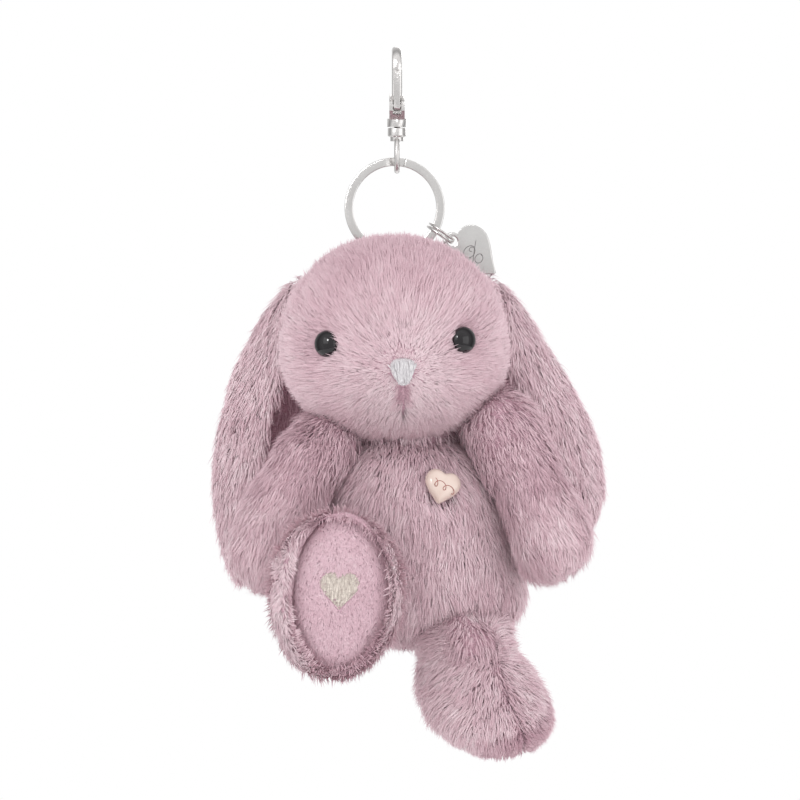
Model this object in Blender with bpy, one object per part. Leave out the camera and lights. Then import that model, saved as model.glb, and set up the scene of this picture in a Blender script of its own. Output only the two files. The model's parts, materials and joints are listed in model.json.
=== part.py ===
"""A lop-eared plush rabbit keychain: trigger hook, swivel eye, split ring, charm and a stuffed rabbit.

Metres, +Z up, +X to the rabbit's left, the rabbit looks along -Y. The origin is the inner top of the
hook's bow, the point that bears on whatever the keychain hangs from. Every piece further down hangs
from the piece above it, so its place is worked out from the sizes above it.
"""

import math

import bmesh
import bpy
from mathutils import Matrix, Vector

GAP = 0.0003  # between pieces that touch

# Trigger hook
BOW_RADIUS = 0.005  # centreline of the bow
BOW_THICK = 0.0022
BOW_WIDTH = 0.0031
NOSE_DROP = 0.0013  # straight end of the bow below its arc
HOOK_TOP_OF_FORK = -0.0120
HOOK_FOOT = -0.0201
SLOT_FLOOR = 0.0015  # above the foot
SLOT_DEPTH = 0.0035  # behind the pin
FORK_WIDTH = 0.00465
FORK_SLOT = 0.0026
COLLAR_R = 0.00295
COLLAR_HEIGHT = 0.0022
GATE_WIDTH = 0.00195
GATE_THICK = 0.0016
GATE_HEEL_R = 0.0015
PIN_R = 0.0006
PIN_Y = -0.0040
PIN_Z = -0.0160
SPRING_R = 0.00075
SPRING_WIRE_R = 0.00016
SPRING_TURNS = 3
SPRING_Z = -0.0141

# Swivel eye
STUD_R = 0.00085
STUD_HEAD_R = 0.0016
STUD_HEAD_HEIGHT = 0.0008
SHOULDER_R = 0.0028
SHOULDER_HEIGHT = 0.0027
LIP_R = 0.00205
LIP_HEIGHT = 0.0013
EYE_WIRE_R = 0.00085
EYE_HALF_SPAN = 0.0033
EYE_DROP = 0.0089  # from the lip to the centre of the lowest wire

# Split ring
RING_OUTER_R = 0.01515
RING_BAND = 0.0026
RING_COIL = 0.00105
RING_COIL_GAP = 0.00015
RING_X = -0.0007

# Charm and its small split ring
CHARM_RING_R = 0.0043  # centreline
CHARM_WIRE_R = 0.00042
CHARM_RING_AROUND = 118.0  # degrees round the big ring, clockwise from its top
CHARM_RING_TILT = 35.1  # degrees that its far side hangs below level
CHARM_TILT = 36.9
CHARM_SPAN = 0.0168
CHARM_LENGTH = 0.0163
CHARM_HOLE_IN = 0.0002  # from the lobes' ends to the hole
CHARM_THICK = 0.0012
LUG_R = 0.0028

# Fabric
COVER = 0.0030  # cloth and the packed foot of its pile
BALL_CLEARANCE = 0.0014  # between a limb's rounded root and what it is sewn to

# Head
HEAD_HALF_WIDTH = 0.0345
HEAD_HALF_DEPTH = 0.0280
HEAD_RISE = 0.0354
HEAD_FALL = 0.0273
HEAD_POWER = 2.2  # 2 is an ellipse, more is squarer
HEAD_X = -0.0008
CROWN_LEDGE = 0.0060  # the loop is sewn this far in from the back of the head
LOOP_WIDTH = 0.0040
LOOP_TAPE = 0.0007
LOOP_TO_CROWN = 0.0021
NECK_OPENING = 20.0  # degrees of the egg that stay open at its end
NECK_GAP = 0.0013

# Face
EYE_R = 0.0040
EYE_DOME = 0.0027
EYE_SINK = 0.0015
EYE_LEFT_AT = (-0.0209, 0.0021)  # across and above the head's centre
EYE_RIGHT_AT = (0.0214, 0.0033)
SHANK_R = 0.0011
WASHER_R = 0.0040
WASHER_THICK = 0.0010
NOSE_WIDTH = 0.0080
NOSE_HEIGHT = 0.0082
NOSE_THICK = 0.0011
NOSE_AT = (0.0026, -0.0064)

# Torso
BODY_HALF_WIDTH = 0.0325
BODY_HALF_DEPTH = 0.0260
BODY_RISE = 0.0380
BODY_FALL = 0.0215
BODY_POWER = 2.7
BODY_X = 0.0062
BODY_BACK = 0.0090  # behind the head's centre
BODY_LEAN = -0.10  # sideways shift for each unit of height
BUTTON_AT = (0.0067, 0.0260)
BUTTON_WIDTH = 0.0110
BUTTON_HEIGHT = 0.0104
BUTTON_THICK = 0.0020
BUTTON_TURN = 12.0
BUTTON_SHANK_R = 0.0009
TAIL_R = 0.0092

# Ears
EAR_LENGTH = 0.0920
EAR_HALF_WIDTH = 0.0155
EAR_OUTER_THICK = 0.0034
EAR_LINING_THICK = 0.0018
EAR_ROOT_R = 0.0040

# Arms
ARM_HALF_WIDTH = 0.0120
ARM_ROOT_R = 0.0095
ARM_TIP = 0.0090
ARM_FORWARD = 0.24  # forward for each unit of length

# Legs
LEG_ROOT_R = 0.0095
FOOT_HALF_WIDTH = 0.0195
FOOT_HALF_LENGTH = 0.0260
SOLE_THICK = 0.0016
SOLE_RECESS = 0.0012
SOLE_HEART = 0.0120
SOLE_HEART_THICK = 0.0006

AROUND = 20  # sides of the big soft pieces
LIMB_AROUND = 14

ROSE = (0.60, 0.40, 0.46)
ROSE_PAD = (0.63, 0.38, 0.46)
NICKEL = (0.62, 0.60, 0.58)


# ---------------------------------------------------------------- helpers


def clear_scene():
    for obj in list(bpy.data.objects):
        bpy.data.objects.remove(obj, do_unlink=True)


def finish(name, bm, colour, roughness, metallic=0.0, pivot=None):
    """Puts a bmesh into a named, smooth-shaded object with its own material and its origin on pivot."""
    bmesh.ops.recalc_face_normals(bm, faces=bm.faces)
    if pivot is not None:
        bmesh.ops.translate(bm, verts=bm.verts, vec=-Vector(pivot))
    mesh = bpy.data.meshes.new(name)
    bm.to_mesh(mesh)
    bm.free()
    mesh.shade_smooth()
    mesh.set_sharp_from_angle(angle=math.radians(40))
    obj = bpy.data.objects.new(name, mesh)
    if pivot is not None:
        obj.location = pivot
    bpy.context.collection.objects.link(obj)
    material = bpy.data.materials.new(name)
    material.use_nodes = True
    shader = material.node_tree.nodes["Principled BSDF"]
    shader.inputs["Base Color"].default_value = (*colour, 1.0)
    shader.inputs["Roughness"].default_value = roughness
    shader.inputs["Metallic"].default_value = metallic
    mesh.materials.append(material)
    return obj


def boolean(target, cutter, operation):
    """Adds an exact Boolean of cutter to target and hides the cutter."""
    modifier = target.modifiers.new(cutter.name, "BOOLEAN")
    modifier.operation = operation
    modifier.solver = "EXACT"
    modifier.object = cutter
    cutter.hide_render = True
    cutter.display_type = "WIRE"


def cut(target, cutter):
    boolean(target, cutter, "DIFFERENCE")


def join(target, other):
    boolean(target, other, "UNION")


def cutter_box(name, low, high):
    """A guide box between two corners."""
    bm = bmesh.new()
    bmesh.ops.create_cube(bm, size=1.0)
    middle = (Vector(low) + Vector(high)) / 2
    size = Vector(high) - Vector(low)
    bmesh.ops.transform(bm, verts=bm.verts, matrix=Matrix.Translation(middle) @ Matrix.Diagonal((*size, 1)))
    return guide(name, bm)


def guide(name, bm):
    """A guide object, which the build leaves out."""
    obj = finish(name, bm, (0.5, 0.5, 0.5), 0.5)
    obj.hide_render = True
    obj.display_type = "WIRE"
    return obj


def tube_bmesh(profile, place=Matrix(), sides=16):
    """A turned solid about local Z from (radius, height) points that run from one end to the other."""
    bm = bmesh.new()
    rings = [
        [
            Vector((r * math.cos(2 * math.pi * k / sides), r * math.sin(2 * math.pi * k / sides), z))
            for k in range(sides)
        ]
        for r, z in profile
    ]
    skin(bm, rings)
    bmesh.ops.transform(bm, verts=bm.verts, matrix=place)
    return bm


def skin(bm, rings, cap_start=True, cap_end=True):
    """Faces between rings of points, with caps; returns the rings as vertices."""
    made = [[bm.verts.new(p) for p in ring] for ring in rings]
    for first, second in zip(made, made[1:]):
        for k in range(len(first)):
            after = (k + 1) % len(first)
            bm.faces.new((first[k], first[after], second[after], second[k]))
    if cap_start:
        bm.faces.new(list(reversed(made[0])))
    if cap_end:
        bm.faces.new(made[-1])
    return made


def pole_cap(bm, ring, tip):
    """A fan from the last ring to a pole."""
    pole = bm.verts.new(tip)
    for k in range(len(ring)):
        bm.faces.new((ring[k], ring[(k + 1) % len(ring)], pole))


def rim(bm, outer, inner):
    """Faces that join an outer ring to an inner one at an opening."""
    for k in range(len(outer)):
        after = (k + 1) % len(outer)
        bm.faces.new((outer[k], inner[k], inner[after], outer[after]))


def seat(point, normal, up=(0, 0, 1)):
    """A frame at point with local Z along normal and local Y as near up as it can be."""
    z = Vector(normal).normalized()
    x = Vector(up).cross(z).normalized()
    y = z.cross(x)
    frame = Matrix((x, y, z)).transposed().to_4x4()
    frame.translation = point
    return frame


def oval(centre, across, along, sides):
    """One ring of points round centre, with two half axes."""
    ring = []
    for k in range(sides):
        turn = 2 * math.pi * k / sides
        ring.append(centre + across * math.cos(turn) + along * math.sin(turn))
    return ring


def plate(name, outline, thick, place, colour, roughness, metallic=0.0, edge=0.0, pivot=None):
    """A flat plate from a local XY outline, its back on local Z = 0, with a rounded front edge."""
    bm = bmesh.new()
    bm.faces.new([bm.verts.new((x, y, 0)) for x, y in outline])
    grown = bmesh.ops.extrude_face_region(bm, geom=list(bm.faces))
    top = [v for v in grown["geom"] if isinstance(v, bmesh.types.BMVert)]
    bmesh.ops.translate(bm, verts=top, vec=(0, 0, thick))
    if edge:
        front = [e for e in bm.edges if all(v.co.z > thick / 2 for v in e.verts)]
        bmesh.ops.bevel(bm, geom=front, offset=edge, segments=2, affect="EDGES", profile=0.5)
    bmesh.ops.transform(bm, verts=bm.verts, matrix=place)
    return finish(name, bm, colour, roughness, metallic, pivot)


def heart_outline(width, height, count=28):
    """A heart, point down, centred on its box: x = sin^3 t and y from four cosines of t."""
    raw = []
    for k in range(count):
        t = 2 * math.pi * (k + 0.5) / count
        x = math.sin(t) ** 3
        y = (13 * math.cos(t) - 5 * math.cos(2 * t) - 2 * math.cos(3 * t) - math.cos(4 * t)) / 16
        raw.append((x, y))
    low = min(y for _, y in raw)
    high = max(y for _, y in raw)
    wide = max(x for x, _ in raw)
    return [
        (-x / wide * width / 2, ((y - low) / (high - low) - 0.5) * height)
        for x, y in raw
    ]


# ---------------------------------------------------------------- eggs


class Egg:
    """An upright egg with its own height above and below its centre; a power over 2 squares its ends."""

    def __init__(self, centre, half_width, half_depth, rise, fall, power=2.0, lean=0.0):
        self.centre = Vector(centre)
        self.size = (half_width, half_depth, rise, fall)
        self.power = power
        self.lean = lean

    def point(self, polar, turn, inset=0.0):
        """A point at polar degrees from the top and turn radians round, moved in by inset."""
        width, depth, rise, fall = (s - inset for s in self.size)
        flat = abs(math.sin(math.radians(polar))) ** (2 / self.power)
        up = math.cos(math.radians(polar))
        z = math.copysign(abs(up) ** (2 / self.power), up) * (rise if up > 0 else fall)
        local = Vector((width * flat * math.cos(turn) + self.lean * z, depth * flat * math.sin(turn), z))
        return self.centre + local

    def ring(self, polar, inset=0.0):
        return [self.point(polar, 2 * math.pi * k / AROUND, inset) for k in range(AROUND)]

    def front(self, across, above, side=-1):
        """The surface point and outward normal at a place seen from the front (or back, side = 1)."""
        width, depth, rise, fall = self.size
        tall = rise if above > 0 else fall
        x = across - self.lean * above
        level = (1 - abs(above / tall) ** self.power) ** (2 / self.power)
        y = side * depth * math.sqrt(level - (x / width) ** 2)
        return self.centre + Vector((across, y, above)), self.normal(x, y, above)

    def towards(self, direction):
        """The surface point and outward normal in a direction from the centre."""
        width, depth, rise, fall = self.size
        d = Vector(direction).normalized()
        tall = rise if d.z > 0 else fall
        level = math.hypot(d.x / width, d.y / depth)
        p = d / (level**self.power + abs(d.z / tall) ** self.power) ** (1 / self.power)
        return self.centre + p + Vector((self.lean * p.z, 0, 0)), self.normal(*p)

    def normal(self, x, y, z):
        """The outward normal at a surface place given from the centre, lean taken off."""
        width, depth, rise, fall = self.size
        tall = rise if z > 0 else fall
        level = math.hypot(x / width, y / depth) ** (self.power - 2)
        up = math.copysign(abs(z / tall) ** (self.power - 1), z) / tall
        return Vector((level * x / width**2, level * y / depth**2, up)).normalized()

    def height(self, y, above=True):
        """How far the surface stands above (or below) the centre on the middle plane at y."""
        _, depth, rise, fall = self.size
        share = (1 - abs((y - self.centre.y) / depth) ** self.power) ** (1 / self.power)
        return (rise if above else fall) * share


def egg_cover(name, egg, open_top, pivot):
    """A shell with one opening, at its top or at its bottom."""
    polars = [NECK_OPENING + k * (180 - NECK_OPENING) / 9 for k in range(9)]
    if not open_top:
        polars = [180 - p for p in polars]
    bm = bmesh.new()
    outer = skin(bm, [egg.ring(p) for p in polars], cap_start=False, cap_end=False)
    inner = skin(bm, [egg.ring(p, COVER) for p in polars], cap_start=False, cap_end=False)
    far = 180 if open_top else 0
    pole_cap(bm, outer[-1], egg.point(far, 0))
    pole_cap(bm, inner[-1], egg.point(far, 0, COVER))
    rim(bm, outer[0], inner[0])
    return finish(name, bm, ROSE, 0.9, pivot=pivot)


def egg_stuffing(name, egg, pivot):
    bm = bmesh.new()
    inset = COVER + GAP
    rings = skin(bm, [egg.ring(18 * k, inset) for k in range(1, 10)], cap_start=False, cap_end=False)
    pole_cap(bm, rings[0], egg.point(0, 0, inset))
    pole_cap(bm, rings[-1], egg.point(180, 0, inset))
    return finish(name, bm, (0.9, 0.9, 0.88), 1.0, pivot=pivot)


# ---------------------------------------------------------------- limbs


class Limb:
    """A stuffed tube: a ball round its joint, then stations of centre, half axes across and along."""

    def __init__(self, pivot, root_r, stations, tip=None):
        self.pivot = Vector(pivot)
        self.root_r = root_r
        self.stations = stations
        self.tip = tip

    def rings(self, inset=0.0, ball=(50, 25)):
        first, across, along = self.stations[0]
        heading = (first - self.pivot).normalized()
        side = (across - heading * across.dot(heading)).normalized()
        up = heading.cross(side)
        if up.dot(along) < 0:
            up = -up
        made = []
        for angle in ball:
            back = math.radians(angle)
            centre = self.pivot - heading * (self.root_r - inset) * math.sin(back)
            reach = (self.root_r - inset) * math.cos(back)
            made.append(oval(centre, side * reach, up * reach, LIMB_AROUND))
        reach = self.root_r - inset
        made.append(oval(self.pivot, side * reach, up * reach, LIMB_AROUND))
        for centre, across, along in self.stations:
            a = across.normalized() * (across.length - inset)
            b = along.normalized() * (along.length - inset)
            made.append(oval(centre, a, b, LIMB_AROUND))
        if self.tip:
            centre, across, along = self.stations[-1]
            heading = (centre - self.stations[-2][0]).normalized()
            a = across.normalized() * (across.length - inset)
            b = along.normalized() * (along.length - inset)
            for angle in (35, 65):
                out = math.radians(angle)
                made.append(
                    oval(
                        centre + heading * (self.tip - inset) * math.sin(out),
                        a * math.cos(out),
                        b * math.cos(out),
                        LIMB_AROUND,
                    )
                )
        return made

    def pole(self, inset=0.0):
        centre = self.stations[-1][0]
        heading = (centre - self.stations[-2][0]).normalized()
        return centre + heading * (self.tip - inset)

    def cover(self, name):
        bm = bmesh.new()
        outer = skin(bm, self.rings(), cap_start=False, cap_end=False)
        inner = skin(bm, self.rings(COVER), cap_start=False, cap_end=False)
        rim(bm, outer[0], inner[0])
        if self.tip:
            pole_cap(bm, outer[-1], self.pole())
            pole_cap(bm, inner[-1], self.pole(COVER))
        else:
            rim(bm, outer[-1], inner[-1])
        return finish(name, bm, ROSE, 0.9, pivot=self.pivot)

    def stuffing(self, name, short=0.0, mouth=None):
        """The filling; where a sole closes the cover's mouth, its flat end stops short of it."""
        bm = bmesh.new()
        rings = self.rings(COVER + GAP, ball=(25,))
        if short:
            centre, _, _ = self.stations[-1]
            before, _, _ = self.stations[-2]
            share = short / abs((centre - before).dot(mouth))
            rings[-1] = [a.lerp(b, share) for a, b in zip(rings[-1], rings[-2])]
        made = skin(bm, rings, cap_end=not self.tip)
        if self.tip:
            pole_cap(bm, made[-1], self.pole(COVER + GAP))
        return finish(name, bm, (0.9, 0.9, 0.88), 1.0, pivot=self.pivot)


# ---------------------------------------------------------------- hook


def hook():
    """The cast body, its sprung gate with pin and spring, and the swivel eye below."""
    bow_top = BOW_THICK / 2
    arc_z = bow_top - BOW_RADIUS
    path = [Vector((0, BOW_RADIUS, HOOK_TOP_OF_FORK - 0.0025)), Vector((0, BOW_RADIUS, arc_z))]
    steps = 12
    for k in range(1, steps + 1):
        turn = math.pi * k / steps
        path.append(Vector((0, BOW_RADIUS * math.cos(turn), arc_z + BOW_RADIUS * math.sin(turn))))
    path.append(Vector((0, -BOW_RADIUS, arc_z - NOSE_DROP)))
    bm = bmesh.new()
    rings = []
    for k, point in enumerate(path):
        before = path[max(k - 1, 0)]
        after = path[min(k + 1, len(path) - 1)]
        heading = (after - before).normalized()
        outward = heading.cross(Vector((1, 0, 0)))
        rings.append(oval(point, Vector((BOW_WIDTH / 2, 0, 0)), outward * BOW_THICK / 2, 10))
    skin(bm, rings)
    body = finish("hook_body", bm, NICKEL, 0.25, 1.0)

    back = BOW_RADIUS + BOW_THICK / 2
    front = PIN_Y - GATE_HEEL_R
    outline = [
        (back, HOOK_TOP_OF_FORK),
        (back, PIN_Z),
        (COLLAR_R, HOOK_FOOT),
        (-COLLAR_R, HOOK_FOOT),
        (front, PIN_Z - GATE_HEEL_R),
        (front, PIN_Z + 2 * PIN_R),
        (PIN_Y + GATE_HEEL_R, HOOK_TOP_OF_FORK - 0.0010),
        (BOW_RADIUS - BOW_THICK, HOOK_TOP_OF_FORK - 0.0012),
    ]
    bm = bmesh.new()
    bm.faces.new([bm.verts.new((-FORK_WIDTH / 2, y, z)) for y, z in outline])
    grown = bmesh.ops.extrude_face_region(bm, geom=list(bm.faces))
    moved = [v for v in grown["geom"] if isinstance(v, bmesh.types.BMVert)]
    bmesh.ops.translate(bm, verts=moved, vec=(FORK_WIDTH, 0, 0))
    join(body, guide("fork_block", bm))

    foot = HOOK_FOOT - COLLAR_HEIGHT
    join(body, guide("collar_block", tube_bmesh([(COLLAR_R, foot), (COLLAR_R, HOOK_FOOT + GAP)], sides=20)))
    slot_floor = HOOK_FOOT + SLOT_FLOOR
    cut(
        body,
        cutter_box(
            "gate_slot",
            (-FORK_SLOT / 2, front - 0.002, slot_floor),
            (FORK_SLOT / 2, PIN_Y + SLOT_DEPTH, HOOK_TOP_OF_FORK + 0.001),
        ),
    )
    recess_r = STUD_HEAD_R + GAP
    recess_low = HOOK_FOOT + GAP
    recess = [(recess_r, recess_low), (recess_r, slot_floor + GAP)]
    cut(body, guide("stud_recess", tube_bmesh(recess, sides=16)))
    bore = [(STUD_R + GAP, foot - 0.001), (STUD_R + GAP, recess_low + GAP)]
    cut(body, guide("stud_bore", tube_bmesh(bore, sides=16)))
    across = Matrix.Translation((0, PIN_Y, PIN_Z)) @ Matrix.Rotation(math.pi / 2, 4, "Y")
    pin_hole = [(PIN_R + GAP, -FORK_WIDTH), (PIN_R + GAP, FORK_WIDTH)]
    cut(body, guide("pin_bore", tube_bmesh(pin_hole, across, sides=12)))

    gate_pivot = Vector((0, PIN_Y, PIN_Z))
    tip_z = arc_z - NOSE_DROP - GAP
    reach = GATE_THICK / 2
    gate_outline = [(-BOW_RADIUS - reach, tip_z), (-BOW_RADIUS + reach, tip_z)]
    gate_outline.append((PIN_Y + GATE_HEEL_R, PIN_Z + GATE_HEEL_R))
    for k in range(9):
        turn = math.radians(-20 * k)
        gate_outline.append((PIN_Y + GATE_HEEL_R * math.cos(turn), PIN_Z + GATE_HEEL_R * math.sin(turn)))
    gate_outline.append((PIN_Y - GATE_HEEL_R, PIN_Z + GATE_HEEL_R))
    bm = bmesh.new()
    bm.faces.new([bm.verts.new((-GATE_WIDTH / 2, y, z)) for y, z in gate_outline])
    grown = bmesh.ops.extrude_face_region(bm, geom=list(bm.faces))
    moved = [v for v in grown["geom"] if isinstance(v, bmesh.types.BMVert)]
    bmesh.ops.translate(bm, verts=moved, vec=(GATE_WIDTH, 0, 0))
    gate = finish("hook_gate", bm, NICKEL, 0.25, 1.0, pivot=gate_pivot)
    cut(gate, guide("gate_bore", tube_bmesh(pin_hole, across, sides=12)))

    ends = [(PIN_R, -FORK_WIDTH / 2), (PIN_R, FORK_WIDTH / 2)]
    finish("gate_pin", tube_bmesh(ends, across, sides=12), NICKEL, 0.3, 1.0)

    coil_start = PIN_Y + GATE_HEEL_R + GAP + SPRING_WIRE_R
    coil_end = PIN_Y + SLOT_DEPTH - GAP - SPRING_WIRE_R
    curve = bpy.data.curves.new("gate_spring", "CURVE")
    curve.dimensions = "3D"
    curve.bevel_depth = SPRING_WIRE_R
    curve.bevel_resolution = 1
    curve.use_fill_caps = True
    spline = curve.splines.new("POLY")
    count = SPRING_TURNS * 10 + 1
    spline.points.add(count - 1)
    for k, point in enumerate(spline.points):
        turn = 2 * math.pi * k / 10
        y = coil_start + (coil_end - coil_start) * k / (count - 1)
        point.co = (SPRING_R * math.cos(turn), y, SPRING_Z + SPRING_R * math.sin(turn), 1)
    steel = bpy.data.materials.new("gate_spring")
    steel.use_nodes = True
    steel.node_tree.nodes["Principled BSDF"].inputs["Metallic"].default_value = 1.0
    curve.materials.append(steel)
    bpy.context.collection.objects.link(bpy.data.objects.new("gate_spring", curve))
    return foot


def swivel_eye(hook_foot):
    """Turned stud, shoulder and lip over a wire eye; returns its lowest wire and where a ring rests on it."""
    top = hook_foot - GAP
    shoulder_low = top - SHOULDER_HEIGHT
    lip_low = shoulder_low - LIP_HEIGHT
    head_low = HOOK_FOOT + 2 * GAP
    profile = [
        (LIP_R, lip_low),
        (LIP_R, shoulder_low),
        (SHOULDER_R, shoulder_low + GAP),
        (SHOULDER_R, top - GAP),
        (SHOULDER_R - GAP, top),
        (STUD_R, top),
        (STUD_R, head_low),
        (STUD_HEAD_R, head_low),
        (STUD_HEAD_R, head_low + STUD_HEAD_HEIGHT),
    ]
    eye = finish("swivel_eye", tube_bmesh(profile, sides=20), NICKEL, 0.25, 1.0)
    low = lip_low - EYE_DROP
    centre = Vector((0, 0, (lip_low + EYE_WIRE_R + low) / 2))
    half_tall = (lip_low + EYE_WIRE_R - low) / 2
    steps = 20
    bm = bmesh.new()
    rings = []
    for k in range(steps):
        turn = 2 * math.pi * k / steps
        point = centre + Vector((0, EYE_HALF_SPAN * math.cos(turn), half_tall * math.sin(turn)))
        heading = Vector((0, -EYE_HALF_SPAN * math.sin(turn), half_tall * math.cos(turn))).normalized()
        outward = heading.cross(Vector((1, 0, 0)))
        rings.append(oval(point, Vector((EYE_WIRE_R, 0, 0)), outward * EYE_WIRE_R, 8))
    made = skin(bm, rings, cap_start=False, cap_end=False)
    for k in range(8):
        after = (k + 1) % 8
        bm.faces.new((made[-1][k], made[-1][after], made[0][after], made[0][k]))
    join(eye, guide("eye_wire", bm))
    half_ring = RING_COIL + RING_COIL_GAP / 2
    rise = half_tall * (1 - math.sqrt(1 - (half_ring / EYE_HALF_SPAN) ** 2))
    return low, low + rise + EYE_WIRE_R + GAP


# ---------------------------------------------------------------- rings and charm


def coil(name, centre, frame, radius, start, stop, step, offset, section, pivot):
    """A swept split ring: offset(angle) shifts it along its axis, section(out, axis) gives its points."""
    across, down, axis = frame
    bm = bmesh.new()
    rings = []
    count = round((stop - start) / step)
    for k in range(count + 1):
        angle = start + (stop - start) * k / count
        turn = math.radians(angle)
        out = across * math.sin(turn) - down * math.cos(turn)
        middle = centre + out * radius + axis * offset(angle)
        rings.append([middle + out * a + axis * b for a, b in section])
    skin(bm, rings)
    return finish(name, bm, NICKEL, 0.22, 1.0, pivot=pivot)


def smooth(value):
    value = min(max(value, 0.0), 1.0)
    return value * value * (3 - 2 * value)


def key_ring(wire_z, seat_z):
    """The flat split ring, hung over the eye's lowest wire; returns its centre."""
    inner_r = RING_OUTER_R - RING_BAND
    middle_r = RING_OUTER_R - RING_BAND / 2
    centre = Vector((RING_X, 0, seat_z - inner_r))
    layer = (RING_COIL + RING_COIL_GAP) / 2
    jog_start = 345.0
    jog_end = 368.0

    def offset(angle):
        return layer * (2 * smooth((angle - jog_start) / (jog_end - jog_start)) - 1)

    a = RING_BAND / 2
    b = RING_COIL / 2
    section = [(a, -b), (a, b), (-a, b), (-a, -b)]
    frame = (Vector((1, 0, 0)), Vector((0, 0, -1)), Vector((0, 1, 0)))
    hinge = Vector((0, 0, wire_z))
    coil("key_ring", centre, frame, middle_r, 12.0, 700.0, 9.0, offset, section, hinge)
    return centre, middle_r


def charm(ring_centre, ring_middle_r):
    """The small split ring through the big one, and the heart plate that hangs on it."""
    around = math.radians(CHARM_RING_AROUND)
    radial = Vector((math.sin(around), 0, math.cos(around)))
    band = ring_centre + radial * ring_middle_r
    tilt = math.radians(CHARM_RING_TILT)
    heading = Vector((math.cos(tilt), 0, -math.sin(tilt)))
    inner_seat = RING_BAND / 2 + CHARM_WIRE_R + 1.5 * GAP
    centre = band + heading * (CHARM_RING_R - inner_seat / abs(heading.dot(radial)))
    axis = heading.cross(Vector((0, 1, 0)))
    layer = CHARM_WIRE_R + GAP / 2
    start, stop = 200.0, 880.0
    sides = 6
    section = [
        (CHARM_WIRE_R * math.cos(2 * math.pi * k / sides), CHARM_WIRE_R * math.sin(2 * math.pi * k / sides))
        for k in range(sides)
    ]

    def offset(angle):
        return layer * (2 * smooth((angle - 528.0) / 30.0) - 1)

    frame = (Vector((0, 1, 0)), heading, axis)
    coil("charm_ring", centre, frame, CHARM_RING_R, start, stop, 20.0, offset, section, band)

    hole = centre + heading * CHARM_RING_R
    charm_tilt = math.radians(CHARM_TILT)
    length_axis = Vector((math.cos(charm_tilt), 0, -math.sin(charm_tilt)))
    hole_r = 2 * CHARM_WIRE_R + 2 * GAP
    middle = hole + length_axis * (CHARM_LENGTH / 2 - CHARM_HOLE_IN)
    place = seat(middle + Vector((0, CHARM_THICK / 2, 0)), (0, -1, 0), -length_axis)
    outline = heart_outline(CHARM_SPAN, CHARM_LENGTH)
    body = plate("heart_charm", outline, CHARM_THICK, place, NICKEL, 0.2, 1.0, pivot=hole)
    lug_place = seat(hole, (0, -1, 0))
    half = CHARM_THICK / 2
    join(body, guide("charm_lug", tube_bmesh([(LUG_R, -half), (LUG_R, half)], lug_place, sides=18)))
    through = [(hole_r, -CHARM_THICK), (hole_r, CHARM_THICK)]
    cut(body, guide("charm_hole", tube_bmesh(through, lug_place, sides=14)))


def hang_loop(ring_centre, ring_middle_r):
    """A tape loop round the bottom of the ring; returns its hinge and its lowest height."""
    hinge = Vector((RING_X, 0, ring_centre.z - ring_middle_r))
    clear = 0.00035
    half_span = RING_COIL + RING_COIL_GAP / 2 + clear + LOOP_TAPE / 2
    top = hinge.z + RING_BAND / 2 + clear
    low = hinge.z - RING_BAND / 2 - clear
    points = []
    for base, sign in ((top, 1), (low, -1)):
        for k in range(7):
            turn = math.pi * k / 6
            points.append((sign * half_span * math.cos(turn), base + sign * half_span * math.sin(turn)))
    bm = bmesh.new()
    rings = []
    for k, (y, z) in enumerate(points):
        after = points[(k + 1) % len(points)]
        before = points[k - 1]
        heading = Vector((0, after[0] - before[0], after[1] - before[1])).normalized()
        outward = heading.cross(Vector((1, 0, 0))) * LOOP_TAPE / 2
        side = Vector((LOOP_WIDTH / 2, 0, 0))
        middle = Vector((hinge.x, y, z))
        rings.append([middle + side + outward, middle - side + outward])
        rings[-1] += [middle - side - outward, middle + side - outward]
    made = skin(bm, rings, cap_start=False, cap_end=False)
    for k in range(4):
        after = (k + 1) % 4
        bm.faces.new((made[-1][k], made[-1][after], made[0][after], made[0][k]))
    finish("hang_loop", bm, ROSE, 0.8, pivot=hinge)
    return hinge, low - half_span - LOOP_TAPE / 2


# ---------------------------------------------------------------- head


def eye(name, head, cover, stuffing, place_at):
    """A safety eye: dome and shank in one, through the cover into a washer."""
    point, normal = head.front(*place_at)
    side = "left" if place_at[0] < 0 else "right"
    place = seat(point - normal * EYE_SINK, normal)
    shank_end = -COVER - WASHER_THICK - 0.0030
    profile = [(SHANK_R, shank_end), (SHANK_R, 0), (EYE_R, 0)]
    for k in range(1, 4):
        turn = math.radians(24 * k)
        profile.append((EYE_R * math.cos(turn), EYE_DOME * math.sin(turn)))
    profile.append((EYE_R * 0.12, EYE_DOME))
    finish(name, tube_bmesh(profile, place, sides=18), (0.012, 0.010, 0.012), 0.06, pivot=point)
    pocket = [(EYE_R + GAP, -GAP), (EYE_R + GAP, 0.006)]
    cut(cover, guide(name + "_pocket", tube_bmesh(pocket, place, sides=18)))
    bore_r = SHANK_R + GAP
    cut(cover, guide(name + "_bore", tube_bmesh([(bore_r, -0.008), (bore_r, 0.004)], place, sides=12)))
    washer_top = -COVER + EYE_SINK - GAP - (0.5 * EYE_SINK)
    washer = [
        (WASHER_R, washer_top - WASHER_THICK),
        (WASHER_R, washer_top),
        (bore_r, washer_top),
        (bore_r, washer_top - WASHER_THICK),
    ]
    bm = bmesh.new()
    sides = 16
    rings = []
    for r, z in washer:
        rings.append([place @ p for p in oval(Vector((0, 0, z)), Vector((r, 0, 0)), Vector((0, r, 0)), sides)])
    made = skin(bm, rings, cap_start=False, cap_end=False)
    rim(bm, made[-1], made[0])
    finish(f"eye_washer_{side}", bm, (0.8, 0.8, 0.8), 0.5)
    room = WASHER_R + GAP
    depth = shank_end - 0.0010
    cut(stuffing, guide(name + "_room", tube_bmesh([(room, depth), (room, 0.004)], place, sides=14)))


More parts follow.
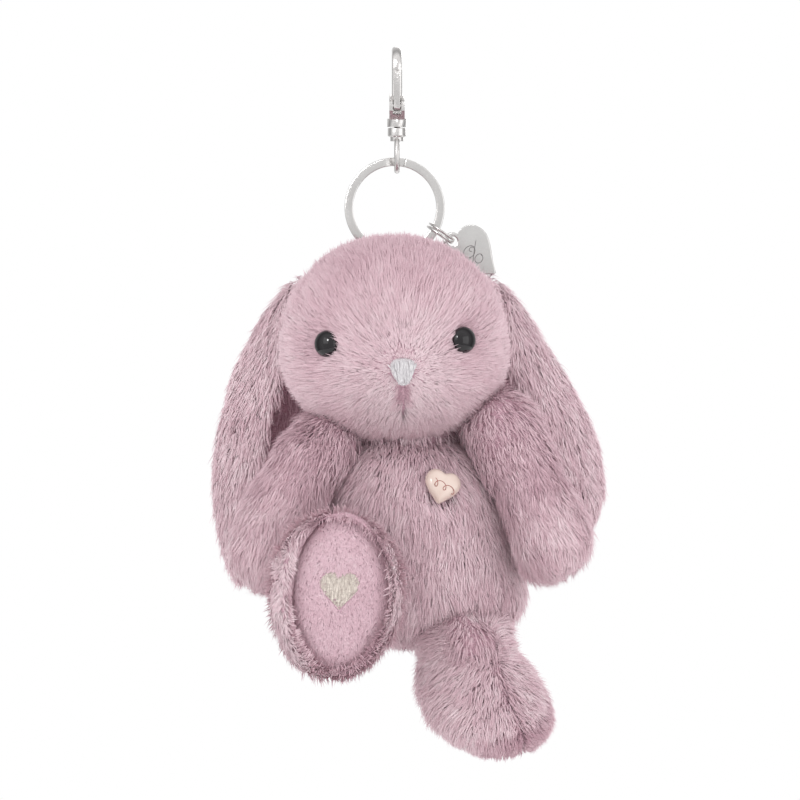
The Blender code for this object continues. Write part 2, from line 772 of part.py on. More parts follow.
def head_parts(head, hinge):
    cover = egg_cover("head_cover", head, False, hinge)
    stuffing = egg_stuffing("head_stuffing", head, hinge)
    eye("eye_left", head, cover, stuffing, EYE_LEFT_AT)
    eye("eye_right", head, cover, stuffing, EYE_RIGHT_AT)
    point, normal = head.front(*NOSE_AT)
    shield = [(-0.42, 0.5), (0.42, 0.5), (0.5, 0.38), (0.46, -0.05), (0.27, -0.38)]
    shield += [(0.1, -0.5), (-0.1, -0.5), (-0.27, -0.38), (-0.46, -0.05), (-0.5, 0.38)]
    outline = [(x * NOSE_WIDTH, y * NOSE_HEIGHT) for x, y in reversed(shield)]
    place = seat(point + normal * GAP, normal)
    plate("nose_embroidery", outline, NOSE_THICK, place, (0.62, 0.60, 0.61), 0.5, edge=0.0004, pivot=point)


def ear(side, head, turn_deg, root_toward, spine):
    """Two sewn layers of a lop ear, cupped round the head; spine is (x, y, z, width share) from the root."""
    mirror = -1 if side == "left" else 1
    point, normal = head.towards(root_toward)
    root = point + normal * (EAR_ROOT_R + BALL_CLEARANCE)
    turn = math.radians(turn_deg)
    wide = Vector((mirror * math.sin(turn), math.cos(turn), 0))
    outward = Vector((mirror * math.cos(turn), -math.sin(turn), 0))
    stations = [root + Vector((mirror * x, y, z)) * EAR_LENGTH for x, y, z, _ in spine]
    shares = [share for *_, share in spine]
    steps = (-1.0, -0.8, -0.4, 0.0, 0.4, 0.8, 1.0)
    for kind, near, thick in (
        ("outer", GAP / 2, EAR_OUTER_THICK),
        ("lining", -GAP / 2, -EAR_LINING_THICK),
    ):
        bm = bmesh.new()
        rings = []
        for centre, share in zip(stations, shares):
            half = EAR_HALF_WIDTH * share
            loop = []
            for t in steps:
                loop.append(centre + wide * half * t + outward * (near - 0.10 * half * t * t))
            for t in reversed(steps):
                swell = thick * min(1.0, 0.55 + 0.45 * share) * (0.25 + 0.75 * math.sqrt(1 - t * t))
                loop.append(centre + wide * half * t + outward * (near + swell - 0.10 * half * t * t))
            rings.append(loop)
        skin(bm, rings)
        bmesh.ops.triangulate(bm, faces=bm.faces)
        colour = ROSE if kind == "outer" else ROSE_PAD
        finish(f"ear_{side}_{kind}", bm, colour, 0.9, pivot=root)
    return root


# ---------------------------------------------------------------- torso and limbs


def torso_parts(body, neck):
    cover = egg_cover("body_cover", body, True, neck)
    stuffing = egg_stuffing("body_stuffing", body, neck)
    point, normal = body.front(*BUTTON_AT)
    place = seat(point + normal * 2 * GAP, normal) @ Matrix.Rotation(math.radians(BUTTON_TURN), 4, "Z")
    outline = heart_outline(BUTTON_WIDTH, BUTTON_HEIGHT)
    button = plate(
        "heart_button", outline, BUTTON_THICK, place, (0.87, 0.80, 0.70), 0.3, edge=0.0006, pivot=point
    )
    inside = -COVER - 0.0015
    shank = [(BUTTON_SHANK_R, inside), (BUTTON_SHANK_R, BUTTON_THICK / 2)]
    join(button, guide("button_shank", tube_bmesh(shank, place, sides=10)))
    bore_r = BUTTON_SHANK_R + GAP
    cut(cover, guide("button_bore", tube_bmesh([(bore_r, -0.006), (bore_r, 0.003)], place, sides=10)))
    cut(stuffing, guide("button_room", tube_bmesh([(bore_r, inside - GAP), (bore_r, 0.003)], place, sides=10)))

    point, normal = body.towards((0, 1, -0.42))
    centre = point + normal * (TAIL_R + 2 * GAP)
    across = Vector((TAIL_R, 0, 0))
    along = normal.cross(across)
    stations = [(centre + normal * TAIL_R * share, across, along) for share in (0.08, 0.16)]
    tail = Limb(centre, TAIL_R, stations, tip=TAIL_R)
    tail.cover("tail_cover")
    tail.stuffing("tail_stuffing")


def arm(side, body, toward, lean, curl):
    """One arm from its shoulder ball; lean is its slope sideways, curl how much the hand comes back in."""
    mirror = -1 if side == "left" else 1
    point, normal = body.towards(toward)
    pivot = point + normal * (ARM_ROOT_R + BALL_CLEARANCE)
    across = Vector((math.cos(lean), 0, mirror * math.sin(lean)))
    stations = []
    for along, share in ((0.0085, 0.90), (0.0200, 1.0), (0.0330, 1.0)):
        slope = lean - curl * along / 0.033
        centre = pivot + Vector((mirror * math.sin(slope), -ARM_FORWARD, -math.cos(slope))) * along
        half = ARM_HALF_WIDTH * share
        stations.append((centre, across * half, Vector((0, half, -ARM_FORWARD * half))))
    limb = Limb(pivot, ARM_ROOT_R, stations, tip=ARM_TIP)
    limb.cover(f"arm_{side}_cover")
    limb.stuffing(f"arm_{side}_stuffing")
    return pivot


def leg(side, body, toward, sole_offset, toe, out_of_sole):
    """One leg: hip ball, ankle and a foot whose oval mouth the sole closes."""
    point, normal = body.towards(toward)
    pivot = point + normal * (LEG_ROOT_R + BALL_CLEARANCE)
    sole_centre = pivot + Vector(sole_offset)
    out = Vector(out_of_sole).normalized()
    along = (Vector(toe) - out * Vector(toe).dot(out)).normalized()
    across = along.cross(out).normalized()
    stations = []
    for share, wide, long in ((0.42, 0.72, 0.66), (0.61, 0.92, 0.88), (0.79, 1.0, 1.0), (1.0, 0.97, 0.975)):
        centre = pivot.lerp(sole_centre, share)
        stations.append((centre, across * FOOT_HALF_WIDTH * wide, along * FOOT_HALF_LENGTH * long))
    limb = Limb(pivot, LEG_ROOT_R, stations)
    limb.cover(f"leg_{side}_cover")
    limb.stuffing(f"leg_{side}_stuffing", SOLE_RECESS + SOLE_THICK + GAP, out)

    half_wide = FOOT_HALF_WIDTH * 0.97 - COVER - GAP
    half_long = FOOT_HALF_LENGTH * 0.975 - COVER - GAP
    outline = []
    for k in range(LIMB_AROUND * 2):
        turn = math.pi * k / LIMB_AROUND
        outline.append((half_wide * 0.965 * math.cos(turn), half_long * 0.965 * math.sin(turn)))
    inward = (pivot - sole_centre) / abs((pivot - sole_centre).dot(out))
    place = seat(sole_centre + inward * (SOLE_RECESS + SOLE_THICK), out, along)
    plate(f"sole_{side}", outline, SOLE_THICK, place, ROSE_PAD, 0.9, edge=0.0004, pivot=pivot)
    heart_place = seat(sole_centre + inward * (SOLE_RECESS - GAP), out, along)
    outline = heart_outline(SOLE_HEART, SOLE_HEART)
    plate(f"sole_heart_{side}", outline, SOLE_HEART_THICK, heart_place, (0.72, 0.62, 0.56), 0.5, pivot=pivot)
    return pivot


def main():
    clear_scene()
    hook_foot = hook()
    wire_z, seat_z = swivel_eye(hook_foot)
    ring_centre, ring_middle_r = key_ring(wire_z, seat_z)
    charm(ring_centre, ring_middle_r)
    hinge, loop_low = hang_loop(ring_centre, ring_middle_r)

    head_y = CROWN_LEDGE - HEAD_HALF_DEPTH
    size = (HEAD_HALF_WIDTH, HEAD_HALF_DEPTH, HEAD_RISE, HEAD_FALL)
    head = Egg((HEAD_X, head_y, 0), *size, power=HEAD_POWER)
    head.centre.z = loop_low - LOOP_TO_CROWN - head.height(0)
    head_parts(head, hinge)

    body_y = head_y + BODY_BACK
    body_top = head.centre.z - head.height(body_y, above=False) - NECK_GAP
    size = (BODY_HALF_WIDTH, BODY_HALF_DEPTH, BODY_RISE, BODY_FALL)
    body = Egg((BODY_X, body_y, body_top - BODY_RISE), *size, power=BODY_POWER, lean=BODY_LEAN)
    neck = Vector((BODY_X + BODY_LEAN * BODY_RISE, (head_y + body_y) / 2, body_top + NECK_GAP / 2))
    torso_parts(body, neck)

    left_spine = (
        (0.00, 0.00, 0.00, 0.22),
        (0.035, 0.050, -0.055, 0.52),
        (0.090, 0.090, -0.150, 0.82),
        (0.160, 0.100, -0.290, 0.97),
        (0.210, 0.080, -0.460, 1.00),
        (0.235, 0.065, -0.650, 0.97),
        (0.225, 0.055, -0.820, 0.78),
        (0.205, 0.050, -0.930, 0.46),
        (0.195, 0.045, -0.970, 0.18),
    )
    right_spine = tuple((x - 0.035 * z + 0.055 * z * z, y, z, w) for x, y, z, w in left_spine)
    ear("left", head, 30.0, (-0.0262, 0.0175, 0.0215), left_spine)
    ear("right", head, 34.0, (0.0262, 0.0175, 0.0215), right_spine)

    arm("left", body, (-0.0300, -0.0140, 0.0345), math.radians(24), math.radians(2))
    arm("right", body, (0.0340, -0.0140, 0.0340), math.radians(29), math.radians(7))

    leg("left", body, (-0.0185, -0.0230, -0.0060), (-0.0035, -0.0200, 0.0035), (0.03, 0, 1), (0, -1, 0))
    leg("right", body, (0.0110, -0.0150, -0.0150), (0.0058, 0.0080, -0.0170), (0.17, -0.86, -0.48), (0, 0.48, -0.86))


main()
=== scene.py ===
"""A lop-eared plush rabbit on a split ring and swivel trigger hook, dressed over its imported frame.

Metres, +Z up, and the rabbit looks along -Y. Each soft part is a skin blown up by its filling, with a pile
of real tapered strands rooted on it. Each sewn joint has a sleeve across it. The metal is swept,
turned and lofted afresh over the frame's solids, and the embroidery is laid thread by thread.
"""

from __future__ import annotations

import json
import logging
import math
from dataclasses import dataclass, field
from enum import Enum
from typing import Callable, Sequence

import bpy
import numpy as np
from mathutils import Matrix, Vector

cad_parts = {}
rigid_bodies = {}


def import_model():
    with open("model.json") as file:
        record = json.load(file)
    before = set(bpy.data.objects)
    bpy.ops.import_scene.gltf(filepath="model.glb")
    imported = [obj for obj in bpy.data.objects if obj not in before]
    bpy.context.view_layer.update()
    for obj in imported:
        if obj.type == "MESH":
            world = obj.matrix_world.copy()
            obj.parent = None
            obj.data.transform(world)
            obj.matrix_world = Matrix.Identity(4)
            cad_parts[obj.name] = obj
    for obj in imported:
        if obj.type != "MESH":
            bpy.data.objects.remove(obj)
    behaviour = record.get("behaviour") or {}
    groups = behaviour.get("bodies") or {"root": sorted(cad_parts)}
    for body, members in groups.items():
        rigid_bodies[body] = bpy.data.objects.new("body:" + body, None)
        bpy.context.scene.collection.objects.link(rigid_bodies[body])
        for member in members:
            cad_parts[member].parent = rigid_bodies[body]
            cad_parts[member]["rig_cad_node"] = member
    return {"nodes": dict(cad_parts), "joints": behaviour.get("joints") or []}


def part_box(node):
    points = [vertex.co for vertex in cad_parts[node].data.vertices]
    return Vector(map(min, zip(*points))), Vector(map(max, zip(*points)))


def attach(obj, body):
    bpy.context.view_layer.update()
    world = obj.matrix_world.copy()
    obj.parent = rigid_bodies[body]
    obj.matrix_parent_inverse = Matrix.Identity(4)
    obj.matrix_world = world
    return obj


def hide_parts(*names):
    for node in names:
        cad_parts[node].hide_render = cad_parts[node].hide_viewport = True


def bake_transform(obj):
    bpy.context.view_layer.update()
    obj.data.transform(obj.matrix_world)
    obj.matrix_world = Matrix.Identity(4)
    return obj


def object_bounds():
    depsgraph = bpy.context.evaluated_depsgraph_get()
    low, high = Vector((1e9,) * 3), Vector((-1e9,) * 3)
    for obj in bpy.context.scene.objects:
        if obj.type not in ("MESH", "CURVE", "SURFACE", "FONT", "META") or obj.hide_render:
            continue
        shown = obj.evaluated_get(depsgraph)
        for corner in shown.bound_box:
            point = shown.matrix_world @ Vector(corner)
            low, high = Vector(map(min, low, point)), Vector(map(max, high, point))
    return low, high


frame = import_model()
CAD_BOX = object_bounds()

Array = np.ndarray
Field = Callable[[Array], Array]
LOG = logging.getLogger("plush_keychain")
SEED = 7
UP = np.array([0.0, 0.0, 1.0])
ACROSS = np.array([1.0, 0.0, 0.0])
FORWARD = np.array([0.0, -1.0, 0.0])
UV_NAME = "OFBake"
JOINT_AT = {joint["name"]: np.array(joint["pos_m"], float) for joint in frame["joints"]}


# ---------------------------------------------------------------- arrays


def unit(vectors: Array) -> Array:
    """Each vector divided by its own length."""
    return vectors / np.maximum(np.linalg.norm(vectors, axis=-1, keepdims=True), 1e-12)


def along(vectors: Array, others: Array) -> Array:
    """The dot product of each pair of vectors, kept as a column."""
    return (vectors * others).sum(-1, keepdims=True)


def blend(low: float, high: float, values: Array) -> Array:
    """A smooth step: 0 below low, 1 above high, 3t^2 - 2t^3 between them."""
    t = np.clip((values - low) / (high - low), 0.0, 1.0)
    return t * t * (3 - 2 * t)


def circle(count: int) -> Array:
    """Angles of count even steps round a circle, in radians."""
    return np.linspace(0, 2 * math.pi, count, endpoint=False)


def wander(points: Array, wavelength: float, rng: np.random.Generator) -> Array:
    """A slow drift over space: the mean of eight sine waves of random heading and phase.

    Args:
        points: Places, one row each.
        wavelength: The waves' usual length in metres.
        rng: Source of the headings and phases.

    Returns:
        One value for each place, mostly between -1 and 1.
    """
    headings = unit(rng.normal(size=(8, 3))) * 2 * math.pi / wavelength
    headings *= rng.uniform(0.6, 1.5, (8, 1))
    phases = rng.uniform(0, 2 * math.pi, 8)
    return np.sin(points @ headings.T + phases).mean(1) * 1.8


def bow(start: Sequence[float], middle: Sequence[float], end: Sequence[float], t: Array) -> Array:
    """A quadratic curve through start and end that leans towards middle, at shares t."""
    t = t[:, None]
    a, b, c = (np.array(p, float) for p in (start, middle, end))
    return a * (1 - t) ** 2 + 2 * b * t * (1 - t) + c * t**2


# ---------------------------------------------------------------- meshes


class Ends(Enum):
    """How a run of rings is finished."""

    POLES = "poles"
    LOOP = "loop"


def grid_faces(rows: int, columns: int, loop: bool) -> Array:
    """Quads between neighbouring rings of points; loop also joins the last ring to the first.

    Args:
        rows: How many rings.
        columns: Points in a ring.
        loop: Whether the last ring meets the first.

    Returns:
        Four point numbers for each quad.
    """
    i, j = np.meshgrid(np.arange(rows if loop else rows - 1), np.arange(columns), indexing="ij")
    after_i, after_j = (i + 1) % rows, (j + 1) % columns
    corners = (i * columns + j, i * columns + after_j, after_i * columns + after_j, after_i * columns + j)
    return np.stack(corners, -1).reshape(-1, 4)


def fan_faces(ring: Array, pole: int) -> Array:
    """Triangles from a ring's points to one pole."""
    return np.stack([ring, np.roll(ring, -1), np.full(len(ring), pole)], -1)


def volume_six(points: Array, faces: Sequence[Array]) -> float:
    """Six times the volume the faces enclose, negative where they point inwards.

    Args:
        points: One row for each vertex.
        faces: Blocks of faces with the same number of corners.

    Returns:
        The sum of each triangle's a . (b x c).
    """
    total = 0.0
    for block in faces:
        a = points[block[:, 0]]
        for k in range(1, block.shape[1] - 1):
            total += float((a * np.cross(points[block[:, k]], points[block[:, k + 1]])).sum())
    return total


def put_mesh(name: str, points: Array, faces: Sequence[Array], uv: Array | None = None) -> bpy.types.Object:
    """Puts whole arrays of points and faces into a new smooth mesh object, faces turned outwards.

    Args:
        name: The piece's name.
        points: One row for each vertex.
        faces: Blocks of faces with the same number of corners.
        uv: A place in the pile's map for each vertex.

    Returns:
        The new object, linked to the scene.
    """
    middle = points.mean(0)
    if volume_six(points - middle, faces) < 0:
        faces = [block[:, ::-1] for block in faces]
    corners = np.concatenate([block.ravel() for block in faces]).astype(np.int32)
    sizes = np.concatenate([np.full(len(block), block.shape[1]) for block in faces])
    starts = np.concatenate([[0], np.cumsum(sizes)[:-1]]).astype(np.int32)
    mesh = bpy.data.meshes.new(name)
    mesh.vertices.add(len(points))
    mesh.vertices.foreach_set("co", points.astype(np.float32).ravel())
    mesh.loops.add(len(corners))
    mesh.loops.foreach_set("vertex_index", corners)
    mesh.polygons.add(len(sizes))
    mesh.polygons.foreach_set("loop_start", starts)
    mesh.update(calc_edges=True)
    if uv is not None:
        layer = mesh.uv_layers.new(name=UV_NAME)
        layer.data.foreach_set("uv", uv[corners].astype(np.float32).ravel())
    mesh.shade_smooth()
    obj = bpy.data.objects.new(name, mesh)
    bpy.context.scene.collection.objects.link(obj)
    return obj


def rings_mesh(name: str, rings: Array, ends: Ends, poles: Array | None = None) -> bpy.types.Object:
    """A closed piece from rings of points, its ends fanned to poles or joined in a loop.

    Args:
        name: The piece's name.
        rings: Rings of points, all of one length.
        ends: How the first and last rings are finished.
        poles: The end points, or the end rings' means.

    Returns:
        The new object.
    """
    rows, columns = rings.shape[:2]
    points = rings.reshape(-1, 3)
    faces = [grid_faces(rows, columns, ends is Ends.LOOP)]
    if ends is Ends.POLES:
        if poles is None:
            poles = np.stack([rings[0].mean(0), rings[-1].mean(0)])
        count = rows * columns
        points = np.concatenate([points, poles])
        faces.append(fan_faces(np.arange(columns)[::-1], count))
        faces.append(fan_faces(np.arange(count - columns, count), count + 1))
    return put_mesh(name, points, faces)


def swept(path: Array, side: Array, section: Array, loop: bool = False) -> Array:
    """Rings of a section carried along a path: each point is the path's, plus out and side times the section's.

    Args:
        path: Points the section's middle follows.
        side: A direction square to the path, one for all or one each.
        section: Outward and sideways offsets, one row for each point; a third axis gives one section each.
        loop: Whether the path closes on itself.

    Returns:
        Rings of points, one for each path point.
    """
    if loop:
        heading = np.roll(path, -1, 0) - np.roll(path, 1, 0)
    else:
        heading = np.gradient(path, axis=0)
    heading = unit(heading)
    side = np.broadcast_to(side, path.shape)
    out = unit(np.cross(heading, side))
    return path[:, None] + out[:, None] * section[..., :1] + side[:, None] * section[..., 1:]


def turned(profile: Array, place: Array, sides: int = 48) -> Array:
    """Rings of a turned solid: each profile radius swung round local Z at its height, put in place.

    Args:
        profile: A radius and a height in each row.
        place: Where the local frame goes.
        sides: Points in each ring.

    Returns:
        Rings of points, one for each profile row.
    """
    turn = circle(sides)
    local = np.stack(
        [
            profile[:, :1] * np.cos(turn),
            profile[:, :1] * np.sin(turn),
            np.broadcast_to(profile[:, 1:], (len(profile), sides)),
        ],
        -1,
    )
    return local @ place[:3, :3].T + place[:3, 3]


def eased(profile: Sequence[tuple[float, float]], radius: float, steps: int = 4) -> Array:
    """A profile with its inner corners rounded: each becomes a quadratic curve between two nearby points.

    Args:
        profile: The corner points, a radius and a height each.
        radius: How far from its corner each curve starts.
        steps: Points on each curve.

    Returns:
        The rounded profile.
    """
    points = np.array(profile, float)
    before = points[:-2] - points[1:-1]
    after = points[2:] - points[1:-1]
    reach = np.minimum(radius, 0.45 * np.minimum(np.linalg.norm(before, axis=1), np.linalg.norm(after, axis=1)))
    first = points[1:-1] + unit(before) * reach[:, None]
    last = points[1:-1] + unit(after) * reach[:, None]
    t = np.linspace(0, 1, steps)[None, :, None]
    curve = first[:, None] * (1 - t) ** 2 + 2 * points[1:-1, None] * t * (1 - t) + last[:, None] * t**2
    return np.concatenate([points[:1], curve.reshape(-1, 2), points[-1:]])


def round_section(across: float, tall: float, sides: int, power: float = 2.0) -> Array:
    """A closed superellipse: cosine and sine each raised to 2 over power.

    Args:
        across: Half its outward size.
        tall: Half its sideways size.
        sides: How many points.
        power: 2 for an ellipse, more for a squarer section.

    Returns:
        Outward and sideways offsets.
    """
    turn = circle(sides)
    c, s = np.cos(turn), np.sin(turn)
    share = 2 / power
    return np.stack([across * np.sign(c) * abs(c) ** share, tall * np.sign(s) * abs(s) ** share], -1)


def seat(point: Array, normal: Array, up: Array = UP) -> Array:
    """A 4 by 4 place with local Z along normal and local Y as near up as it can be.

    Args:
        point: Where its origin goes.
        normal: Where local Z points.
        up: Where local Y leans.

    Returns:
        The place.
    """
    z = unit(np.array(normal, float))
    x = unit(np.cross(up, z))
    place = np.eye(4)
    place[:3, 0], place[:3, 1], place[:3, 2], place[:3, 3] = x, np.cross(z, x), z, point
    return place


def put_in(place: Array, local: Array) -> Array:
    """Local points moved to where place puts them."""
    return local @ place[:3, :3].T + place[:3, 3]


# ---------------------------------------------------------------- finishes


class Tree:
    """Short ways to add and join nodes in one node tree."""

    def __init__(self, tree: bpy.types.NodeTree) -> None:
        """Keeps the tree that the other methods add to."""
        self.tree = tree

    def add(self, kind: str, **settings: object) -> bpy.types.Node:
        """A new node of a kind, with its settings.

        Args:
            kind: The node's type.
            **settings: Its properties and their values.

        Returns:
            The node.
        """
        node = self.tree.nodes.new(kind)
        for name, value in settings.items():
            setattr(node, name, value)
        return node

    def join(self, source: bpy.types.NodeSocket, target: bpy.types.NodeSocket) -> None:
        """Links one socket to another."""
        self.tree.links.new(source, target)

    def math(self, operation: str, *values: object, clamp: bool = False) -> bpy.types.NodeSocket:
        """A Math node on sockets or numbers.

        Args:
            operation: What it works out.
            *values: A socket or a number for each input.
            clamp: Whether the result is kept from 0 to 1.

        Returns:
            Its value.
        """
        node = self.add("ShaderNodeMath", operation=operation, use_clamp=clamp)
        for socket, value in zip(node.inputs, values):
            if isinstance(value, bpy.types.NodeSocket):
                self.join(value, socket)
            else:
                socket.default_value = value
        return node.outputs[0]

    def mix(self, factor: object, first: object, second: object, kind: str = "MIX") -> bpy.types.NodeSocket:
        """A colour Mix node on sockets or colours.

        Args:
            factor: How much of the second.
            first: A colour or a socket.
            second: Another.
            kind: How they are mixed.

        Returns:
            Its colour.
        """
        node = self.add("ShaderNodeMix", data_type="RGBA", blend_type=kind)
        for socket, value in ((node.inputs[0], factor), (node.inputs[6], first), (node.inputs[7], second)):
            if isinstance(value, bpy.types.NodeSocket):
                self.join(value, socket)
            else:
                socket.default_value = value
        return node.outputs[2]

    def noise(self, vector: bpy.types.NodeSocket, scale: float, detail: float = 3.0) -> bpy.types.NodeSocket:
        """A noise texture's value on a coordinate.

        Args:
            vector: The coordinate.
            scale: Waves in each metre, about.
            detail: Octaves of finer noise.

        Returns:
            The value.
        """
        node = self.add("ShaderNodeTexNoise")
        node.inputs["Scale"].default_value = scale
        node.inputs["Detail"].default_value = detail
        self.join(vector, node.inputs["Vector"])
        return node.outputs["Fac"]

    def stretched(self, scale: Sequence[float]) -> bpy.types.NodeSocket:
        """Object coordinates stretched by a Mapping node.

        Args:
            scale: The stretch along each axis.

        Returns:
            The coordinate.
        """
        place = self.add("ShaderNodeTexCoord")
        mapping = self.add("ShaderNodeMapping")
        mapping.inputs["Scale"].default_value = scale
        self.join(place.outputs["Object"], mapping.inputs["Vector"])
        return mapping.outputs["Vector"]


GroupParts = tuple[bpy.types.NodeTree, Tree | None, bpy.types.Node | None, bpy.types.Node | None]


def group(
    name: str, inputs: Sequence[tuple[str, str, object]], outputs: Sequence[tuple[str, str]]
) -> GroupParts:
    """A node group with named sockets, or the one already made.

    Args:
        name: The group's name.
        inputs: Name, socket type and default of each input.
        outputs: Name and socket type of each output.

    Returns:
        The group, its Tree, its input node and its output node; the last three are None if it was there.
    """
    made = bpy.data.node_groups.get(name)
    if made:
        return made, None, None, None
    made = bpy.data.node_groups.new(name, "ShaderNodeTree")
    for label, kind, value in inputs:
        socket = made.interface.new_socket(name=label, in_out="INPUT", socket_type=kind)
        socket.default_value = value
    for label, kind in outputs:
        made.interface.new_socket(name=label, in_out="OUTPUT", socket_type=kind)
    tree = Tree(made)
    return made, tree, tree.add("NodeGroupInput"), tree.add("NodeGroupOutput")


def pile_colour_group() -> bpy.types.NodeTree:
    """A strand's colour: three shades mixed by its own tone, darkened towards its root as painted shade.

    Returns:
        The node group.
    """
    made, tree, given, out = group(
        "pile_colour",
        [
            ("Tone", "NodeSocketFloat", 0.5),
            ("Along", "NodeSocketFloat", 0.5),
            ("Deep", "NodeSocketColor", (0.4, 0.25, 0.3, 1)),
            ("Middle", "NodeSocketColor", (0.6, 0.4, 0.45, 1)),
            ("Pale", "NodeSocketColor", (0.8, 0.6, 0.65, 1)),
            ("Root Shade", "NodeSocketFloat", 0.6),
        ],
        [("Color", "NodeSocketColor")],
    )
    if tree:
        double = tree.math("MULTIPLY", given.outputs["Tone"], 2.0)
        low = tree.math("MINIMUM", double, 1.0, clamp=True)
        high = tree.math("SUBTRACT", double, 1.0, clamp=True)
        shade = tree.mix(low, given.outputs["Deep"], given.outputs["Middle"])
        shade = tree.mix(high, shade, given.outputs["Pale"])
        reach = tree.add("ShaderNodeMapRange", interpolation_type="SMOOTHSTEP")
        reach.inputs["From Max"].default_value = 0.85
        reach.inputs["To Max"].default_value = 1.0
        tree.join(given.outputs["Along"], reach.inputs["Value"])
        tree.join(given.outputs["Root Shade"], reach.inputs["To Min"])
        grey = tree.add("ShaderNodeCombineColor")
        for socket in grey.inputs:
            tree.join(reach.outputs[0], socket)
        tree.join(tree.mix(1.0, shade, grey.outputs[0], "MULTIPLY"), out.inputs["Color"])
    return made


def handling_group() -> bpy.types.NodeTree:
    """Wear on plated metal: clouded patches, and hairline scratches from noise stretched two ways.

    Returns:
        The node group.
    """
    made, tree, given, out = group(
        "handling",
        [("Patch Scale", "NodeSocketFloat", 120.0), ("Scratch Scale", "NodeSocketFloat", 260.0)],
        [("Clouds", "NodeSocketFloat"), ("Scratches", "NodeSocketFloat")],
    )
    if tree:
        place = tree.stretched((1, 1, 1))
        clouds = tree.add("ShaderNodeTexNoise")
        clouds.inputs["Detail"].default_value = 4.0
        tree.join(place, clouds.inputs["Vector"])
        tree.join(given.outputs["Patch Scale"], clouds.inputs["Scale"])
        tree.join(clouds.outputs["Fac"], out.inputs["Clouds"])
        lines = []
        for stretch in ((1, 1, 14), (9, 9, 0.8)):
            fine = tree.add("ShaderNodeTexNoise")
            fine.inputs["Detail"].default_value = 2.0
            tree.join(tree.stretched(stretch), fine.inputs["Vector"])
            tree.join(given.outputs["Scratch Scale"], fine.inputs["Scale"])
            ridge = tree.math("ABSOLUTE", tree.math("SUBTRACT", fine.outputs["Fac"], 0.5))
            lines.append(tree.math("SUBTRACT", 1.0, tree.math("MULTIPLY", ridge, 24.0, clamp=True)))
        tree.join(tree.math("MAXIMUM", *lines), out.inputs["Scratches"])
    return made


def weave_group() -> bpy.types.NodeTree:
    """A plain weave: two sets of bands at right angles, each over where the other is under.

    Returns:
        The node group.
    """
    made, tree, given, out = group(
        "plain_weave",
        [("Pitch", "NodeSocketFloat", 2400.0)],
        [("Thread", "NodeSocketFloat")],
    )
    if tree:
        parts = tree.add("ShaderNodeSeparateXYZ")
        tree.join(tree.stretched((1, 1, 1)), parts.inputs[0])
        waves = []
        for axis in ("X", "Z"):
            turn = tree.math("MULTIPLY", parts.outputs[axis], given.outputs["Pitch"])
            waves.append(tree.math("SINE", turn))
        both = tree.math("MULTIPLY", *waves)
        tree.join(tree.math("MULTIPLY_ADD", both, 0.5, 0.5), out.inputs["Thread"])
    return made


Colour = tuple[float, float, float]


@dataclass(frozen=True)
class Finish:
    """A named surface; each kind builds its own nodes on top of a Principled shader."""

    name: str
    slot: str
    roughness: float

    def material(self) -> bpy.types.Material:
        """The finish as a material, made once.

        Returns:
            The material.
        """
        made = bpy.data.materials.get(self.name)
        if made is None:
            made = bpy.data.materials.new(self.name)
            made.use_nodes = True
            shader = made.node_tree.nodes["Principled BSDF"]
            shader.inputs["Roughness"].default_value = self.roughness
            self.dress(Tree(made.node_tree), shader)
        return made

    def dress(self, tree: Tree, shader: bpy.types.Node) -> None:
        """Adds this finish's own nodes to its shader."""
        raise NotImplementedError

    def on(self, *objs: bpy.types.Object) -> None:
        """Puts the finish on pieces, in place of their first material or as a new one.

        Args:
            *objs: The pieces.
        """
        for obj in objs:
            if len(obj.data.materials):
                obj.data.materials[0] = self.material()
            else:
                obj.data.materials.append(self.material())


@dataclass(frozen=True)
class Fur(Finish):
    """Pile: its colour follows each strand's own tone, with painted shade darkening it from the tip to the root.
    """

    deep: Colour = (0.42, 0.245, 0.295)
    middle: Colour = (0.655, 0.465, 0.515)
    pale: Colour = (0.83, 0.705, 0.73)
    # Painted shade: the share of the colour left at the root.
    root_shade: float = 0.80
    sheen: float = 0.20

    def dress(self, tree: Tree, shader: bpy.types.Node) -> None:
        """Feeds the pile colour group from the strands' map."""
        uv = tree.add("ShaderNodeUVMap", uv_map=UV_NAME)
        parts = tree.add("ShaderNodeSeparateXYZ")
        node = tree.add("ShaderNodeGroup", node_tree=pile_colour_group())
        tree.join(uv.outputs[0], parts.inputs[0])
        tree.join(parts.outputs["X"], node.inputs["Tone"])
        tree.join(parts.outputs["Y"], node.inputs["Along"])
        for label, colour in (("Deep", self.deep), ("Middle", self.middle), ("Pale", self.pale)):
            node.inputs[label].default_value = (*colour, 1)
        node.inputs["Root Shade"].default_value = self.root_shade
        tree.join(node.outputs["Color"], shader.inputs["Base Color"])
        shader.inputs["Sheen Weight"].default_value = self.sheen
        shader.inputs["Sheen Roughness"].default_value = 0.4
        shader.inputs["Sheen Tint"].default_value = (1.0, 0.86, 0.9, 1)
        shader.inputs["Specular IOR Level"].default_value = 0.25


@dataclass(frozen=True)
class Backing(Finish):
    """The knitted cloth that the pile is rooted in."""

    colour: Colour = (0.58, 0.38, 0.44)
    dark: Colour = (0.48, 0.29, 0.35)

    def dress(self, tree: Tree, shader: bpy.types.Node) -> None:
        """Mottles the cloth and raises a fine knit."""
        cloud = tree.noise(tree.stretched((1, 1, 1)), 180.0)
        knit = tree.add("ShaderNodeTexVoronoi")
        knit.inputs["Scale"].default_value = 1500.0
        tree.join(tree.stretched((1, 1, 1.6)), knit.inputs["Vector"])
        bump = tree.add("ShaderNodeBump")
        bump.inputs["Distance"].default_value = 0.0003
        tree.join(knit.outputs["Distance"], bump.inputs["Height"])
        tree.join(tree.mix(cloud, (*self.dark, 1), (*self.colour, 1)), shader.inputs["Base Color"])
        tree.join(bump.outputs["Normal"], shader.inputs["Normal"])
        shader.inputs["Specular IOR Level"].default_value = 0.2


